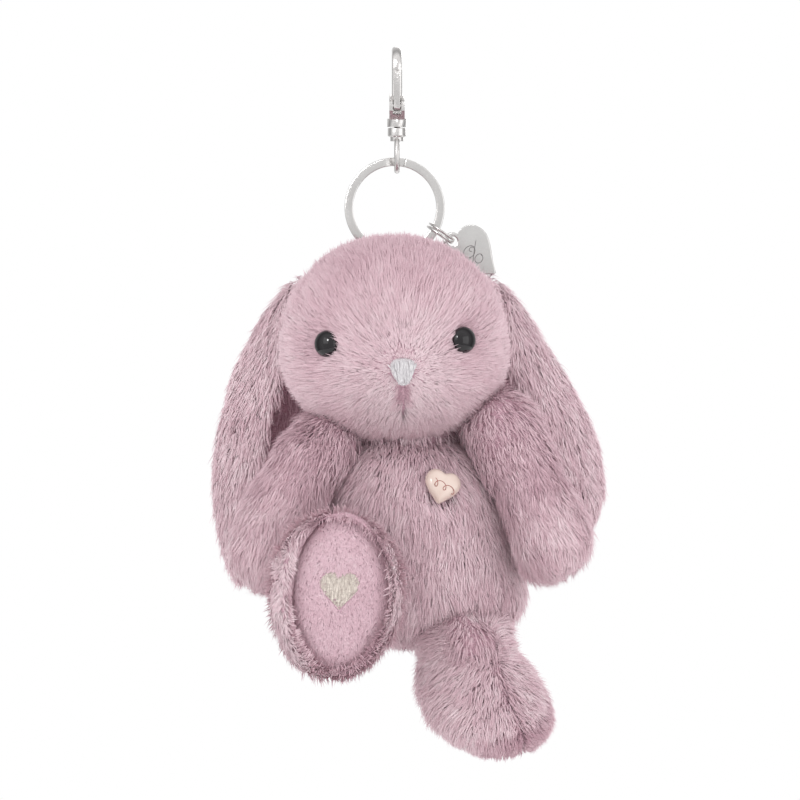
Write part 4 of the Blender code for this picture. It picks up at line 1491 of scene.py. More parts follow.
            curl = np.stack(
                [
                    reach_x * np.cos(2 * math.pi * turns * t) * (1 - 0.8 * t) + 0.0016 * t,
                    base + reach_x * 0.8 * np.sin(2 * math.pi * turns * t) * (1 - 0.8 * t),
                    np.full(60, half + 0.00001),
                ],
                -1,
            )
            lines.append(curl)
        stem = bow((-0.004, -0.0105, half), (0.001, -0.0070, half), (0.0045, -0.0055, half), t)
        lines.append(stem)
        groove = round_section(0.00009, 0.00009, 8)
        for k, line in enumerate(lines):
            local = swept(line, UP, groove)
            cut = rings_mesh(f"charm_line_{k}", put_in(place, local), Ends.POLES)
            ENGRAVED_SHADE.on(cut)
            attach(cut, "charm")
        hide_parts("heart_charm")
        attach(plate, "charm")


# ---------------------------------------------------------------- rabbit


SKIN_INSET = 0.0030


@dataclass
class Head:
    """The head: skin, eyes, embroidered nose and the pile combed out from the nose."""

    half_width: float = 0.0345
    half_depth: float = 0.0280
    rise: float = 0.0354
    fall: float = 0.0273
    power: float = 2.2
    eye_left_at: tuple[float, float] = (-0.0209, 0.0021)
    eye_right_at: tuple[float, float] = (0.0214, 0.0033)
    eye_radius: float = 0.0040
    eye_dome: float = 0.0027
    eye_sink: float = 0.0015
    nose_at: tuple[float, float] = (0.0026, -0.0064)
    nose_width: float = 0.0080
    nose_height: float = 0.0082
    face_strands: int = 33000
    crown_strands: int = 27500
    back_strands: int = 12000
    egg: Egg = field(init=False)

    def __post_init__(self) -> None:
        """Places the egg in the frame's head and finds the features on it."""
        low, high = (np.array(v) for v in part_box("head_cover"))
        centre = (low + high) / 2
        centre[2] = high[2] - self.rise
        self.egg = Egg(centre, self.half_width, self.half_depth, self.rise, self.fall, self.power)
        self.form = Egg(centre, self.half_width, self.half_depth, self.rise - 0.0004, self.fall, self.power - 0.12)
        self.nose, self.nose_normal = self.egg.front(*self.nose_at)
        self.eyes = [self.egg.front(*place) for place in (self.eye_left_at, self.eye_right_at)]
        self.charm_rest = np.mean([tuple(v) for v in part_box("heart_charm")], axis=0) + FORWARD * 0.008

    def build(self) -> None:
        """Makes and dresses the whole head."""
        skin = self.skin()
        obj = skin.mesh()
        smoothed(obj)
        ROSE_BACKING.on(obj)
        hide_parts("head_cover", "head_stuffing")
        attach(obj, "head")
        self.coat(skin)
        self.eye("left", *self.eyes[0])
        self.eye("right", *self.eyes[1])
        MILK.on(frame["nodes"]["eye_washer_left"], frame["nodes"]["eye_washer_right"])
        self.nose_stitches()

    def skin(self) -> Skin:
        """The egg with a muzzle pushed out round the nose and a hollow at each eye, then filled.

        Returns:
            The filled skin.
        """
        rings = self.form.rings(SKIN_INSET, 54, 84)
        normal = Skin("head_skin", rings, self.form.poles(SKIN_INSET)).normals()[1:-1]
        muzzle = np.exp(-((np.linalg.norm(rings - self.nose, axis=-1) / 0.0125) ** 2)) * 0.0016
        for point, _ in self.eyes:
            muzzle -= np.exp(-((np.linalg.norm(rings - point, axis=-1) / 0.0060) ** 2)) * 0.0012
        rings = rings + normal * muzzle[..., None]
        return Skin("head_skin", rings, self.form.poles(SKIN_INSET)).filled(most=0.0006)

    def comb(self, points: Array) -> Array:
        """Outwards from the nose, and on each eye's far side outwards from the eye too.

        Args:
            points: Roots, one row each.

        Returns:
            A direction for each root.
        """
        flow = unit(points - self.nose - self.nose_normal * 0.004)
        flow = flow + UP * 0.25 * blend(0.0, 0.02, points[:, 2] - self.nose[2])[:, None]
        for point, _ in self.eyes:
            away = points - point
            side = np.sign(point[0] - self.nose[0])
            near = np.exp(-((np.linalg.norm(away, axis=1) / 0.0068) ** 2))
            near = near * blend(-0.001, 0.003, side * away[:, 0])
            flow = flow + unit(away) * 2.2 * near[:, None]
        aside, down = points[:, 0] - self.nose[0], self.nose[2] - points[:, 2]
        below = blend(0.001, 0.006, down) * np.exp(-((aside / 0.004) ** 2)) * blend(0.0135, 0.0090, down)
        parting = np.sign(aside) * below * 1.2
        return flow + ACROSS * parting[:, None]

    def trim(self, points: Array) -> Array:
        """Short round the nose and the eyes, and full elsewhere.

        Args:
            points: Roots, one row each.

        Returns:
            The share of the pile's length left at each.
        """
        share = 0.30 + 0.70 * blend(0.004, 0.017, gap_to(points, self.nose))
        share = share * (0.45 + 0.55 * blend(0.008, 0.017, gap_to(points, self.charm_rest)))
        for point, _ in self.eyes:
            side = np.sign(point[0] - self.nose[0])
            away = gap_to(points, point + ACROSS * side * 0.0012)
            share = share * (0.36 + 0.64 * blend(0.0036, 0.0090, away))
        return share

    def shade(self, points: Array) -> Array:
        """Painted shade and light in the tone: darker round the nose, in the parting below it and in the pockets
        beside the eyes, where shade falls; lighter on the muzzle below the nose and darker towards the crown, to
        even out the lamps.

        Args:
            points: Roots, one row each.

        Returns:
            What is added to each strand's tone.
        """
        # Painted shade round the nose, painted light on the muzzle below it, painted shade towards the crown.
        dark = -0.10 * np.exp(-((gap_to(points, self.nose + FORWARD * 0.001) / 0.0055) ** 2))
        dark = dark + 0.14 * np.exp(-((gap_to(points, self.nose - UP * 0.006) / 0.016) ** 2))
        dark = dark - 0.13 * blend(0.004, 0.026, points[:, 2] - self.egg.centre[2])
        for point, _ in self.eyes:
            side = np.sign(point[0] - self.nose[0])
            dark = dark - 0.50 * np.exp(-((gap_to(points, point + ACROSS * side * 0.0022) / 0.0058) ** 2))
        down = self.nose[2] - points[:, 2]
        line = np.exp(-(((points[:, 0] - self.nose[0]) / 0.0013) ** 2))
        line = line * blend(0.002, 0.004, down) * blend(0.0100, 0.0065, down)
        front = points[:, 1] < self.egg.centre[1]
        return dark - 0.75 * line * front + 0.02

    def keep(self, places: Array) -> Array:
        """Nothing under the eyes' domes or the nose.

        Args:
            places: Points and normals, six columns.

        Returns:
            The chance that each strand stays.
        """
        points = places[:, :3]
        kept = gap_to(points, self.nose) > 0.0037
        for point, _ in self.eyes:
            kept &= gap_to(points, point) > 0.0041
        return kept.astype(float)

    def coat(self, skin: Skin) -> None:
        """The head's pile in three pieces: face, crown and back.

        Args:
            skin: The head's skin.
        """
        brow = self.egg.centre[2] + 0.008
        zones = {
            "head_pile_face": (self.face_strands, lambda p: (p[:, 4] < 0) & (p[:, 2] < brow)),
            "head_pile_crown": (self.crown_strands, lambda p: (p[:, 4] < 0) & (p[:, 2] >= brow)),
            "head_pile_back": (self.back_strands, lambda p: p[:, 4] >= 0),
        }
        for name, (count, zone) in zones.items():
            coat = Coat(
                skin, ROSE_PILE, self.pile("back" in name), self.comb,
                share=lambda p, z=zone: z(p) + 1e-9, trim=self.trim, shade=self.shade, keep=self.keep,
            )
            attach(coat.grow(name, count), "head")

    def pile(self, behind: bool) -> Pile:
        """Short, close and soft, a little coarser behind.

        Args:
            behind: Whether it is the back of the head.

        Returns:
            The pile.
        """
        return Pile(
            length=0.0060, width=0.00042 if behind else 0.00028, rise=44.0, fall=18.0, ruffle=8.0, drift=13.0,
            clump=0.22, clump_size=0.0017, tone_spread=0.045, clump_tone=0.045,
        )

    def eye(self, side: str, point: Array, normal: Array) -> None:
        """A safety eye: a polished dome with a thin rim, and its shank through the skin.

        Args:
            side: left or right.
            point: Its middle on the head.
            normal: Where it looks.
        """
        place = seat(point - normal * self.eye_sink, normal)
        angle = np.linspace(0, math.pi / 2, 14)[:-1]
        dome = np.stack([self.eye_radius * np.cos(angle), self.eye_dome * np.sin(angle)], -1)
        shank = np.array([[0.0011, -0.0065], [0.0011, -0.0003], [self.eye_radius * 0.96, -0.0002]])
        obj = rings_mesh(f"eye_dome_{side}", turned(np.concatenate([shank, dome]), place, 48), Ends.POLES)
        JET.on(obj)
        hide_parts(f"eye_{side}")
        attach(obj, "head")

    def nose_stitches(self) -> None:
        """Upright satin stitches over a rounded shield, on a crowned pad of the same thread."""
        place = seat(self.nose + self.nose_normal * 0.0003, self.nose_normal)
        rng = np.random.default_rng([SEED, 41])
        turn = circle(64)
        c, s = np.cos(turn), np.sin(turn)
        taper = 1 - 0.40 * blend(0.35, -1.0, s)
        edge = np.stack([np.sign(c) * abs(c) ** 0.75 * taper * self.nose_width / 2,
                         np.sign(s) * abs(s) ** np.where(s > 0, 0.55, 0.85) * self.nose_height / 2], -1)
        rings, poles = domed_plate(edge * 0.94, 0.0012, -0.0022, 10)
        pad = rings_mesh("nose_pad", put_in(place, rings), Ends.POLES, put_in(place, poles))
        count = 110
        x = rng.uniform(-0.93, 0.93, count) * self.nose_width / 2
        reach = np.interp(abs(x), [0, 0.0026, 0.0040], [1.0, 0.86, 0.10])
        slant = rng.normal(0, 0.00045, count)
        top = np.interp(abs(x), [0, 0.0026, 0.0040], [1, 0.93, 0.50])
        upper = np.stack([x + slant, 0.47 * self.nose_height * top], -1)
        lower = np.stack([(x - slant) * 0.62, -0.49 * self.nose_height * reach], -1)
        split = rng.uniform(-0.2, 0.2, count)[:, None]
        half = count // 2
        upper[:half] = (upper * (0.5 + split) + lower * (0.5 - split))[:half]
        lower[half:] = (upper * (0.45 + split) + lower * (0.55 - split))[half:]
        height = lambda p: 0.0011 * np.clip(1 - (np.linalg.norm(p / [0.0042, 0.0043], axis=1)) ** 3, 0, 1) ** 0.5
        starts = put_in(place, np.column_stack([upper, height(upper)]))
        ends = put_in(place, np.column_stack([lower, height(lower)]))
        threads = thread_mesh("nose_threads", starts, ends, self.nose_normal, 0.00019, 0.00040)
        SILVER.on(pad, threads)
        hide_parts("nose_embroidery")
        for obj in (pad, threads):
            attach(obj, "head")


@dataclass
class Torso:
    """The body with its heart button and tail; its top is tucked up under the chin."""

    half_width: float = 0.0325
    half_depth: float = 0.0260
    rise: float = 0.0380
    tuck: float = 0.0050
    fall: float = 0.0215
    across: float = 0.0062
    power: float = 2.7
    lean: float = -0.10
    button_at: tuple[float, float] = (0.0067, 0.0260)
    button_width: float = 0.0110
    button_height: float = 0.0104
    button_turn: float = -17.0
    front_strands: int = 33000
    back_strands: int = 10000
    tail_strands: int = 4000
    egg: Egg = field(init=False)

    def __post_init__(self) -> None:
        """Places the egg in the frame's body."""
        low, high = (np.array(v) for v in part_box("body_cover"))
        centre = np.array([self.across, (low[1] + high[1]) / 2, high[2] - self.rise])
        rise = self.rise + self.tuck
        self.egg = Egg(centre, self.half_width, self.half_depth, rise, self.fall, self.power, self.lean)
        self.button, self.button_normal = self.egg.front(*self.button_at)

    def build(self) -> None:
        """Makes and dresses the body, its button and its tail."""
        skin = Skin("body_skin", self.egg.rings(SKIN_INSET, 48, 80), self.egg.poles(SKIN_INSET))
        skin = skin.filled(most=0.0008)
        obj = skin.mesh()
        smoothed(obj)
        ROSE_BACKING.on(obj)
        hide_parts("body_cover", "body_stuffing")
        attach(obj, "torso")
        for name, count, zone in (
            ("body_pile_front", self.front_strands, lambda p: p[:, 4] < 0),
            ("body_pile_back", self.back_strands, lambda p: p[:, 4] >= 0),
        ):
            width = 0.00032 if "front" in name else 0.00044
            coat = Coat(
                skin, ROSE_PILE, Pile(length=0.0078, width=width, fall=9.0, clump=0.32), self.comb,
                share=lambda p, z=zone: z(p) + 1e-9, keep=self.keep, shade=self.shade,
            )
            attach(coat.grow(name, count), "torso")
        self.heart_button()
        self.tail()

    def comb(self, points: Array) -> Array:
        """Down, and a little outwards from the middle line."""
        out = (points - self.egg.centre) * [8.0, 4.0, 0.0]
        return out - UP

    def shade(self, points: Array) -> Array:
        """Painted shade: a little darker under the chin, where the head shades the body."""
        return -0.06 * blend(0.020, 0.036, points[:, 2] - self.egg.centre[2])

    def keep(self, places: Array) -> Array:
        """Thin under the button."""
        return np.where(gap_to(places[:, :3], self.button) > 0.0045, 1.0, 0.15)

    def heart_button(self) -> None:
        """The pearl heart: a crowned plate on a shank, with a fine looped line on its face."""
        place = seat(self.button + self.button_normal * 0.0016, self.button_normal)
        turn = math.radians(self.button_turn)
        swing = np.eye(4)
        swing[:2, :2] = [[math.cos(turn), -math.sin(turn)], [math.sin(turn), math.cos(turn)]]
        place = place @ swing
        edge = heart_edge(self.button_width, self.button_height, 96, 0.45)
        rings, poles = domed_plate(edge, 0.0024, 0.0, 16, 0.22)
        plate = rings_mesh("button_heart", put_in(place, rings), Ends.POLES, put_in(place, poles))
        PEARL.on(plate)
        post = np.array([[0.0009, -0.0050], [0.0009, 0.0004]])
        shank = rings_mesh("button_shank", turned(post, place, 20), Ends.POLES)
        PEARL.on(shank)
        t = np.linspace(0, 1, 90)
        x = -0.0036 + 0.0070 * t + 0.0010 * np.sin(5.2 * math.pi * t)
        y = 0.0006 - 0.0016 * t + 0.0013 * np.cos(5.2 * math.pi * t) * (1 - 0.3 * t)
        crown = 0.0024 * (1 - np.clip(np.hypot(x / 0.0056, y / 0.0052), 0, 1) ** 4.5) ** 0.5
        line = swept(np.stack([x, y, crown], -1), UP, round_section(0.00011, 0.00007, 8))
        scroll = rings_mesh("button_line", put_in(place, line), Ends.POLES)
        INK.on(scroll)
        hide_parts("heart_button")
        for obj in (plate, shank, scroll):
            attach(obj, "torso")

    def tail(self) -> None:
        """A round tuft."""
        low, high = (np.array(v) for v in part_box("tail_cover"))
        centre, radius = (low + high) / 2, float(high[0] - low[0]) / 2 - 0.0022
        ball = Egg(centre, radius, radius, radius, radius)
        skin = Skin("tail_skin", ball.rings(0, 18, 30), ball.poles(0)).filled(most=0.0004)
        obj = skin.mesh()
        ROSE_BACKING.on(obj)
        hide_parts("tail_cover", "tail_stuffing")
        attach(obj, "torso")
        pile = Pile(length=0.0070, rise=58.0, fall=40.0, clump=0.5, clump_size=0.0026)
        coat = Coat(skin, ROSE_PILE, pile, lambda p: (p - centre) * [1, 1, 1] - UP * 0.004, everywhere)
        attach(coat.grow("tail_pile", self.tail_strands), "torso")


@dataclass
class Ear:
    """One lop ear: a slim filled leaf, long pile outside and short pile on the lining."""

    side: str
    turn: float
    length: float = 0.0920
    half_width: float = 0.0155
    outer_strands: int = 18500
    lining_strands: int = 6000
    roll: float = 108.0

    def __post_init__(self) -> None:
        """Names the side's sign, body and root."""
        self.mirror = -1 if self.side == "left" else 1
        self.body = f"ear_{self.side}"
        self.root = JOINT_AT[f"ear_{self.side}_root"]

    def spine(self) -> Array:
        """The leaf's middle line and width share, from root to tip.

        Returns:
            Points and a width share, four columns.
        """
        line = np.array([
            (0.00, 0.00, 0.00, 0.22), (0.035, 0.050, -0.055, 0.52), (0.090, 0.090, -0.150, 0.82),
            (0.160, 0.100, -0.290, 0.97), (0.210, 0.080, -0.460, 1.00), (0.235, 0.065, -0.650, 0.97),
            (0.225, 0.055, -0.820, 0.78), (0.205, 0.050, -0.930, 0.46), (0.195, 0.045, -0.970, 0.18),
        ])
        if self.side == "right":
            line[:, 0] += -0.035 * line[:, 2] + 0.055 * line[:, 2] ** 2
            line[:, 0] += 0.045 * blend(-0.25, -0.55, line[:, 2]) - 0.050 * blend(-0.70, -0.97, line[:, 2])
            line[:, 2] *= 1 - 0.10 * blend(-0.50, -0.97, line[:, 2])
        line[:, 0] *= self.mirror
        line = respaced(chaikin(line), 44, crowd=True)
        line[:, :3] = line[:, :3] * self.length + self.root
        return line

    def curled(self, roll: Array, t: Array) -> tuple[Array, Array, Array]:
        """The leaf's cross-section rolled inwards behind: the running sum of the cosine and sine of its bend.

        Args:
            roll: How far each row turns by its rear edge, in radians.
            t: Places across the leaf, -1 in front to 1 behind.

        Returns:
            Each place across and outwards, in half widths, and its bend.
        """
        fine = np.linspace(-1, 1, 241)
        bend = roll * blend(0.25, 0.75, fine)
        step = (1 + 2.6 * blend(0.35, 0.75, fine) * roll / math.radians(self.roll)) * (fine[1] - fine[0])
        middle = len(fine) // 2
        sums = []
        for part in (np.cos(bend) * step, -np.sin(bend) * step):
            total = np.cumsum(part, 1)
            sums.append(total - total[:, middle : middle + 1])
        pick = np.clip(((t + 1) / 2 * (len(fine) - 1)).round().astype(int), 0, len(fine) - 1)
        return sums[0][:, pick], sums[1][:, pick], bend[:, pick]

    def build(self) -> None:
        """Makes the filled leaf and its two piles."""
        line = self.spine()
        turn = math.radians(self.turn)
        wide = np.array([self.mirror * math.sin(turn), math.cos(turn), 0])
        outward = np.array([self.mirror * math.cos(turn), -math.sin(turn), 0])
        angle = circle(72)
        t = np.cos(angle)
        half = (self.half_width * line[:, 3] - 0.0012)[:, None]
        way = np.linspace(0, 1, len(line))[:, None]
        roll = math.radians(self.roll) * blend(0.05, 0.35, way) * (1 - 0.8 * blend(0.55, 0.95, way))
        flat, deep, bend = self.curled(roll, t)
        thick = np.where(np.sin(angle) > 0, 0.0021, 0.0011) * abs(np.sin(angle)) ** 0.8
        thick = thick * np.clip(0.55 + 0.45 * line[:, 3:], 0, 1) * np.sign(np.sin(angle))
        flat = flat * half + thick * np.sin(bend)
        deep = deep * half - 0.10 * half * t**2 + thick * np.cos(bend)
        rings = line[:, None, :3] + wide * flat[..., None] + outward * deep[..., None]
        skin = Skin(f"ear_{self.side}_skin", rings, np.stack([rings[0].mean(0), rings[-1].mean(0)]))
        skin = skin.filled(most=0.0006, pressure=2.0)
        obj = skin.mesh()
        ROSE_BACKING.on(obj)
        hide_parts(f"ear_{self.side}_outer", f"ear_{self.side}_lining")
        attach(obj, self.body)
        comb = lambda p: np.broadcast_to(-UP, p.shape) + wide * ((p - self.root) @ wide)[:, None] * 9
        outside = np.sin(angle + math.pi / len(angle)) > 0
        outer = Coat(
            skin, ROSE_PILE, Pile(length=0.0066, width=0.00038, fall=8.0, drift=12.0), comb,
            share=lambda p: np.tile(outside, len(p) // len(outside)) + 1e-9,
        )
        lining = Coat(
            skin, ROSE_SHORT, Pile(length=0.0030, rise=35.0, width=0.0003, clump_size=0.0016, tone=0.42), comb,
            share=lambda p: np.tile(~outside, len(p) // len(outside)) + 1e-9,
        )
        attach(outer.grow(f"ear_{self.side}_pile", self.outer_strands), self.body)
        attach(lining.grow(f"ear_{self.side}_lining_pile", self.lining_strands), self.body)


@dataclass
class Arm:
    """One arm: a blunt filled sausage from its shoulder, pile combed to the paw."""

    side: str
    lean: float
    curl: float
    half: float = 0.0120
    root_radius: float = 0.0095
    reach: float = 0.0330
    tip: float = 0.0090
    forward: float = 0.24
    short: float = 0.0
    strands: int = 18500

    def build(self) -> None:
        """Makes the filled limb and its pile."""
        mirror = -1 if self.side == "left" else 1
        pivot = JOINT_AT[f"shoulder_{self.side}"]
        lean, curl = math.radians(self.lean), math.radians(self.curl)
        share = (0.5 - 0.5 * np.cos(np.linspace(0, math.pi, 40)))[1:-1]
        first, last = -0.0085, self.reach + self.tip - SKIN_INSET * 0.8 - self.short
        way = first + (last - first) * share
        slope = lean - curl * way / self.reach
        heading = np.stack([mirror * np.sin(slope), np.full(len(way), -self.forward), -np.cos(slope)], -1)
        path = pivot + heading * way[:, None]
        across = np.array([math.cos(lean), 0, mirror * math.sin(lean)])
        deep = np.array([0, 1.0, -self.forward])
        widths = [self.root_radius, self.root_radius, 0.0108, self.half, self.half]
        wide = np.interp(way, [first, 0, 0.0085, 0.020, last], widths)
        reach = (wide - SKIN_INSET * 0.8) * rounded_ends(share, 0.18, 0.20, 2.7)
        oval = across * np.cos(circle(52))[:, None] + deep * np.sin(circle(52))[:, None]
        rings = path[:, None] + oval * reach[:, None, None]
        ends = np.array([first, last])
        end_slope = lean - curl * ends / self.reach
        end_heading = np.stack([mirror * np.sin(end_slope), [-self.forward] * 2, -np.cos(end_slope)], -1)
        poles = pivot + end_heading * ends[:, None]
        skin = Skin(f"arm_{self.side}_skin", rings, poles).filled(most=0.0007)
        obj = skin.mesh()
        smoothed(obj)
        ROSE_BACKING.on(obj)
        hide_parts(f"arm_{self.side}_cover", f"arm_{self.side}_stuffing")
        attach(obj, f"arm_{self.side}")
        down = unit(heading.mean(0))
        comb = lambda p: down + 10 * ((p - pivot) - along(p - pivot, down) * down)
        # Painted shade: darker at the top of the arm, in the shade under the head.
        shade = lambda p: -0.24 * blend(0.024, 0.004, (p - pivot) @ down)
        coat = Coat(skin, ROSE_PILE, Pile(length=0.0072, width=0.00032, fall=10.0, clump=0.30), comb, shade=shade)
        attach(coat.grow(f"arm_{self.side}_pile", self.strands), f"arm_{self.side}")


@dataclass
class Leg:
    """One leg: a boot from the hip to an oval sole with a sewn pad and an embroidered heart."""

    side: str
    sole_offset: tuple[float, float, float]
    toe: tuple[float, float, float]
    outward: tuple[float, float, float]
    strands: int
    pad_strands: int
    root_radius: float
    rim: tuple[float, float]
    pad_size: tuple[float, float]
    pad_shift: tuple[float, float]
    tuck: tuple[float, float, float]
    sag: tuple[float, float, float] = (0.0, 0.0, 0.0)
    foot_shift: tuple[float, float] = (0.0, 0.0)
    half_width: float = 0.0195
    half_length: float = 0.0260
    recess: float = 0.0026
    heart: float = 0.0122
    heart_lift: float = 0.0010
    stitches: int = 2100

    def __post_init__(self) -> None:
        """Finds the sole's centre and its own directions."""
        self.body = f"leg_{self.side}"
        self.pivot = JOINT_AT[f"hip_{self.side}"]
        self.sole = self.pivot + np.array(self.sole_offset)
        self.out = unit(np.array(self.outward, float))
        toe = np.array(self.toe, float)
        self.up = unit(toe - self.out * (toe @ self.out))
        self.across = np.cross(self.up, self.out)
        self.sole = self.sole + self.across * self.foot_shift[0] + self.up * self.foot_shift[1]
        self.back = (self.pivot - self.sole) / abs((self.pivot - self.sole) @ self.out)

    def oval(self, sides: int) -> Array:
        """A unit oval in the sole's plane, a little broader at the toe."""
        turn = circle(sides)
        wide = np.cos(turn) * (1 + 0.05 * np.sin(turn)) * self.half_width * self.rim[0]
        return self.across * wide[:, None] + self.up * np.sin(turn)[:, None] * self.half_length * self.rim[1]

    def build(self) -> None:
        """Makes the boot, its pad, both piles and the heart."""
        share = np.linspace(0, 1, 30)[1:]
        size = np.interp(share, [0, 0.42, 0.61, 0.79, 0.93, 1.0], [0.50, 0.74, 0.88, 0.98, 0.99, 0.94])
        start = self.pivot + np.array(self.tuck)
        ring = self.oval(64)
        blob = unit(ring) * self.root_radius
        mix = blend(0.0, 0.60, share)[:, None, None]
        rings = bow(start, (start + self.sole) / 2 + np.array(self.sag), self.sole, share)[:, None]
        first = np.sqrt(1 - (1 - np.clip(share / 0.22, 0, 1)) ** 2)[:, None, None]
        rings = rings + (blob * (1 - mix) + ring * mix * size[:, None, None]) * first
        floor = self.middle() + self.back * (self.recess + 0.0016)
        mouth = self.pad_ring(circle(64)) * 1.03
        lip = np.linspace(0, 1, 6)[1:, None, None]
        edge = rings[-1] * (1 - lip) + (self.middle() + mouth) * lip + self.out * 0.0016 * np.sin(lip * 2.6)
        inner = floor + mouth * np.array([1.0, 0.97])[:, None, None]
        inner[0] += self.out * 0.0018
        rings = np.concatenate([rings, edge, inner])
        skin = Skin(f"{self.body}_skin", rings, np.stack([start, floor])).filled(most=0.0006)
        obj = skin.mesh()
        ROSE_BACKING.on(obj)
        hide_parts(f"{self.body}_cover", f"{self.body}_stuffing")
        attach(obj, self.body)
        coat = Coat(
            skin, ROSE_PILE, self.boot_pile(), self.comb, self.share,
            trim=self.trim, shade=self.shade, keep=self.off_floor,
        )
        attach(coat.grow(f"{self.body}_pile", self.strands), self.body)
        self.pad()
        self.stitched_heart()

    def boot_pile(self) -> Pile:
        """The boot's pile."""
        return Pile(length=0.0060, width=0.00032, rise=44.0, fall=14.0, clump=0.24, tone=0.60, softness=0.62)

    def share(self, places: Array) -> Array:
        """Denser on what faces forward, and on the lip round the pad."""
        points = places[:, :3]
        lip = blend(1.55, 1.25, self.pad_reach(points)) * blend(0.004, 0.001, (self.sole - points) @ self.out)
        return facing_front(places) * (1 + 2.0 * lip)

    def off_floor(self, places: Array) -> Array:
        """Nothing on the skin behind the pad."""
        depth = (self.sole - places[:, :3]) @ self.out
        faces_pad = places[:, 3:] @ self.out > -0.25
        return 1.0 - ((self.pad_reach(places[:, :3]) < 1.01) & (depth < 0.007) & faces_pad)

    def seam_gap(self, points: Array) -> Array:
        """Signed distance from the instep seam, which runs from the hip and drifts outwards to the toe."""
        away = points - self.sole
        return away @ self.across - 0.006 * blend(0.0, 0.026, away @ self.up)

    def instep(self, points: Array) -> Array:
        """1 on the top of the foot, 0 behind the leg."""
        return blend(-0.1, 0.3, (points - self.pivot) @ self.up / self.half_length)

    def comb(self, points: Array) -> Array:
        """Towards the sole's rim and forward, parted along the instep seam.

        Args:
            points: Roots, one row each.

        Returns:
            A direction for each root.
        """
        away = points - self.sole
        flat = away - along(away, self.out) * self.out
        gap = self.seam_gap(points)[:, None]
        part = np.sign(gap) * self.across * blend(0.006, 0.0, abs(gap)) * self.instep(points)[:, None]
        near_sole = blend(0.006, 0.002, (self.sole - points) @ self.out)
        turned_in = 1 - 1.7 * blend(1.22, 1.06, self.pad_reach(points)) * near_sole
        return unit(flat) * 0.8 * turned_in[:, None] + part * 0.35 + self.out * 0.40 - UP * 0.25

    def trim(self, points: Array) -> Array:
        """Shorter at the seam and at the rim."""
        depth = (self.sole - points) @ self.out
        seam = 0.85 + 0.15 * blend(0.0005, 0.003, abs(self.seam_gap(points)))
        return seam * (0.60 + 0.40 * blend(-0.001, 0.008, depth))

    def shade(self, points: Array) -> Array:
        """Painted shade and light in the tone: darker tufts in the instep seam's crease and in the groove round
        the pad, where shade falls, and lighter on the rim round the sole.

        Args:
            points: Roots, one row each.

        Returns:
            What is added to each strand's tone.
        """
        gap = self.seam_gap(points)
        groove = blend(1.10, 1.02, self.pad_reach(points)) * ((self.sole - points) @ self.out < 0.005)
        rim = blend(0.010, 0.003, (self.sole - points) @ self.out) * (1 - groove)
        # Painted light on the rim; painted shade along the seam and in the groove.
        return 0.12 * rim - 0.02 - 0.22 * np.exp(-((gap / 0.0014) ** 2)) * self.instep(points) - 0.26 * groove

    def pad(self) -> None:
        """The sole's short-pile pad, a filled pillow in the boot's mouth."""
        phi = np.linspace(-math.pi / 2, math.pi / 2, 26)[1:-1, None, None]
        ring = self.pad_ring(circle(72))
        base = self.middle() + self.back * (self.recess + 0.0002)
        rings = base + ring * np.cos(phi) ** 0.42 + self.out * (0.0020 * np.sin(phi))
        poles = np.stack([base - self.out * 0.0020, base + self.out * 0.0020])
        skin = Skin(f"sole_pad_{self.side}", rings, poles).filled(most=0.0007)
        obj = skin.mesh()
        smoothed(obj)
        SHORT_BACKING.on(obj)
        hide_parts(f"sole_{self.side}")
        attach(obj, self.body)
        pile = Pile(
            length=0.0021, width=0.00034, rise=46.0, fall=20.0, ruffle=18.0, drift=28.0, clump=0.22,
            clump_size=0.0012, tone=0.49, tone_spread=0.04, clump_tone=0.04, softness=0.85,
        )
        coat = Coat(
            skin, ROSE_SHORT, pile, lambda p: np.broadcast_to(-self.up, p.shape),
            share=lambda p: (p[:, 3:] @ self.out > -0.4) + 1e-9, trim=self.pad_trim, shade=self.pad_shade,
        )
        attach(coat.grow(f"sole_pile_{self.side}", self.pad_strands), self.body)

    def middle(self) -> Array:
        """The pad's own middle in the sole's plane."""
        return self.sole + self.across * self.pad_shift[0] + self.up * self.pad_shift[1]

    def pad_ring(self, turn: Array) -> Array:
        """The pad's outline about its middle: an oval in the sole's plane."""
        wide = self.across * np.cos(turn)[:, None] * self.half_width * self.pad_size[0]
        return wide + self.up * np.sin(turn)[:, None] * self.half_length * self.pad_size[1]

    def pad_reach(self, points: Array) -> Array:
        """How far out each point is, as a share of the pad's outline."""
        local = self.pad_place(points) / [self.half_width * self.pad_size[0], self.half_length * self.pad_size[1]]
        return np.linalg.norm(local, axis=1)

    def pad_place(self, points: Array) -> Array:
        """Places across the sole's plane from the pad's middle, in metres."""
        return (points - self.middle()) @ np.stack([self.across, self.up], -1)

    def pad_trim(self, points: Array) -> Array:
        """Pressed down under the heart."""
        under = inside(self.pad_place(points) - [0.0, self.heart_lift], heart_edge(self.heart, self.heart, 60))
        return np.where(under, 0.25, 1.0)

    def pad_shade(self, points: Array) -> Array:
        """Painted shade: darker towards the sewn edge, in the groove round the pad."""
        return -0.30 * blend(0.93, 1.0, self.pad_reach(points))

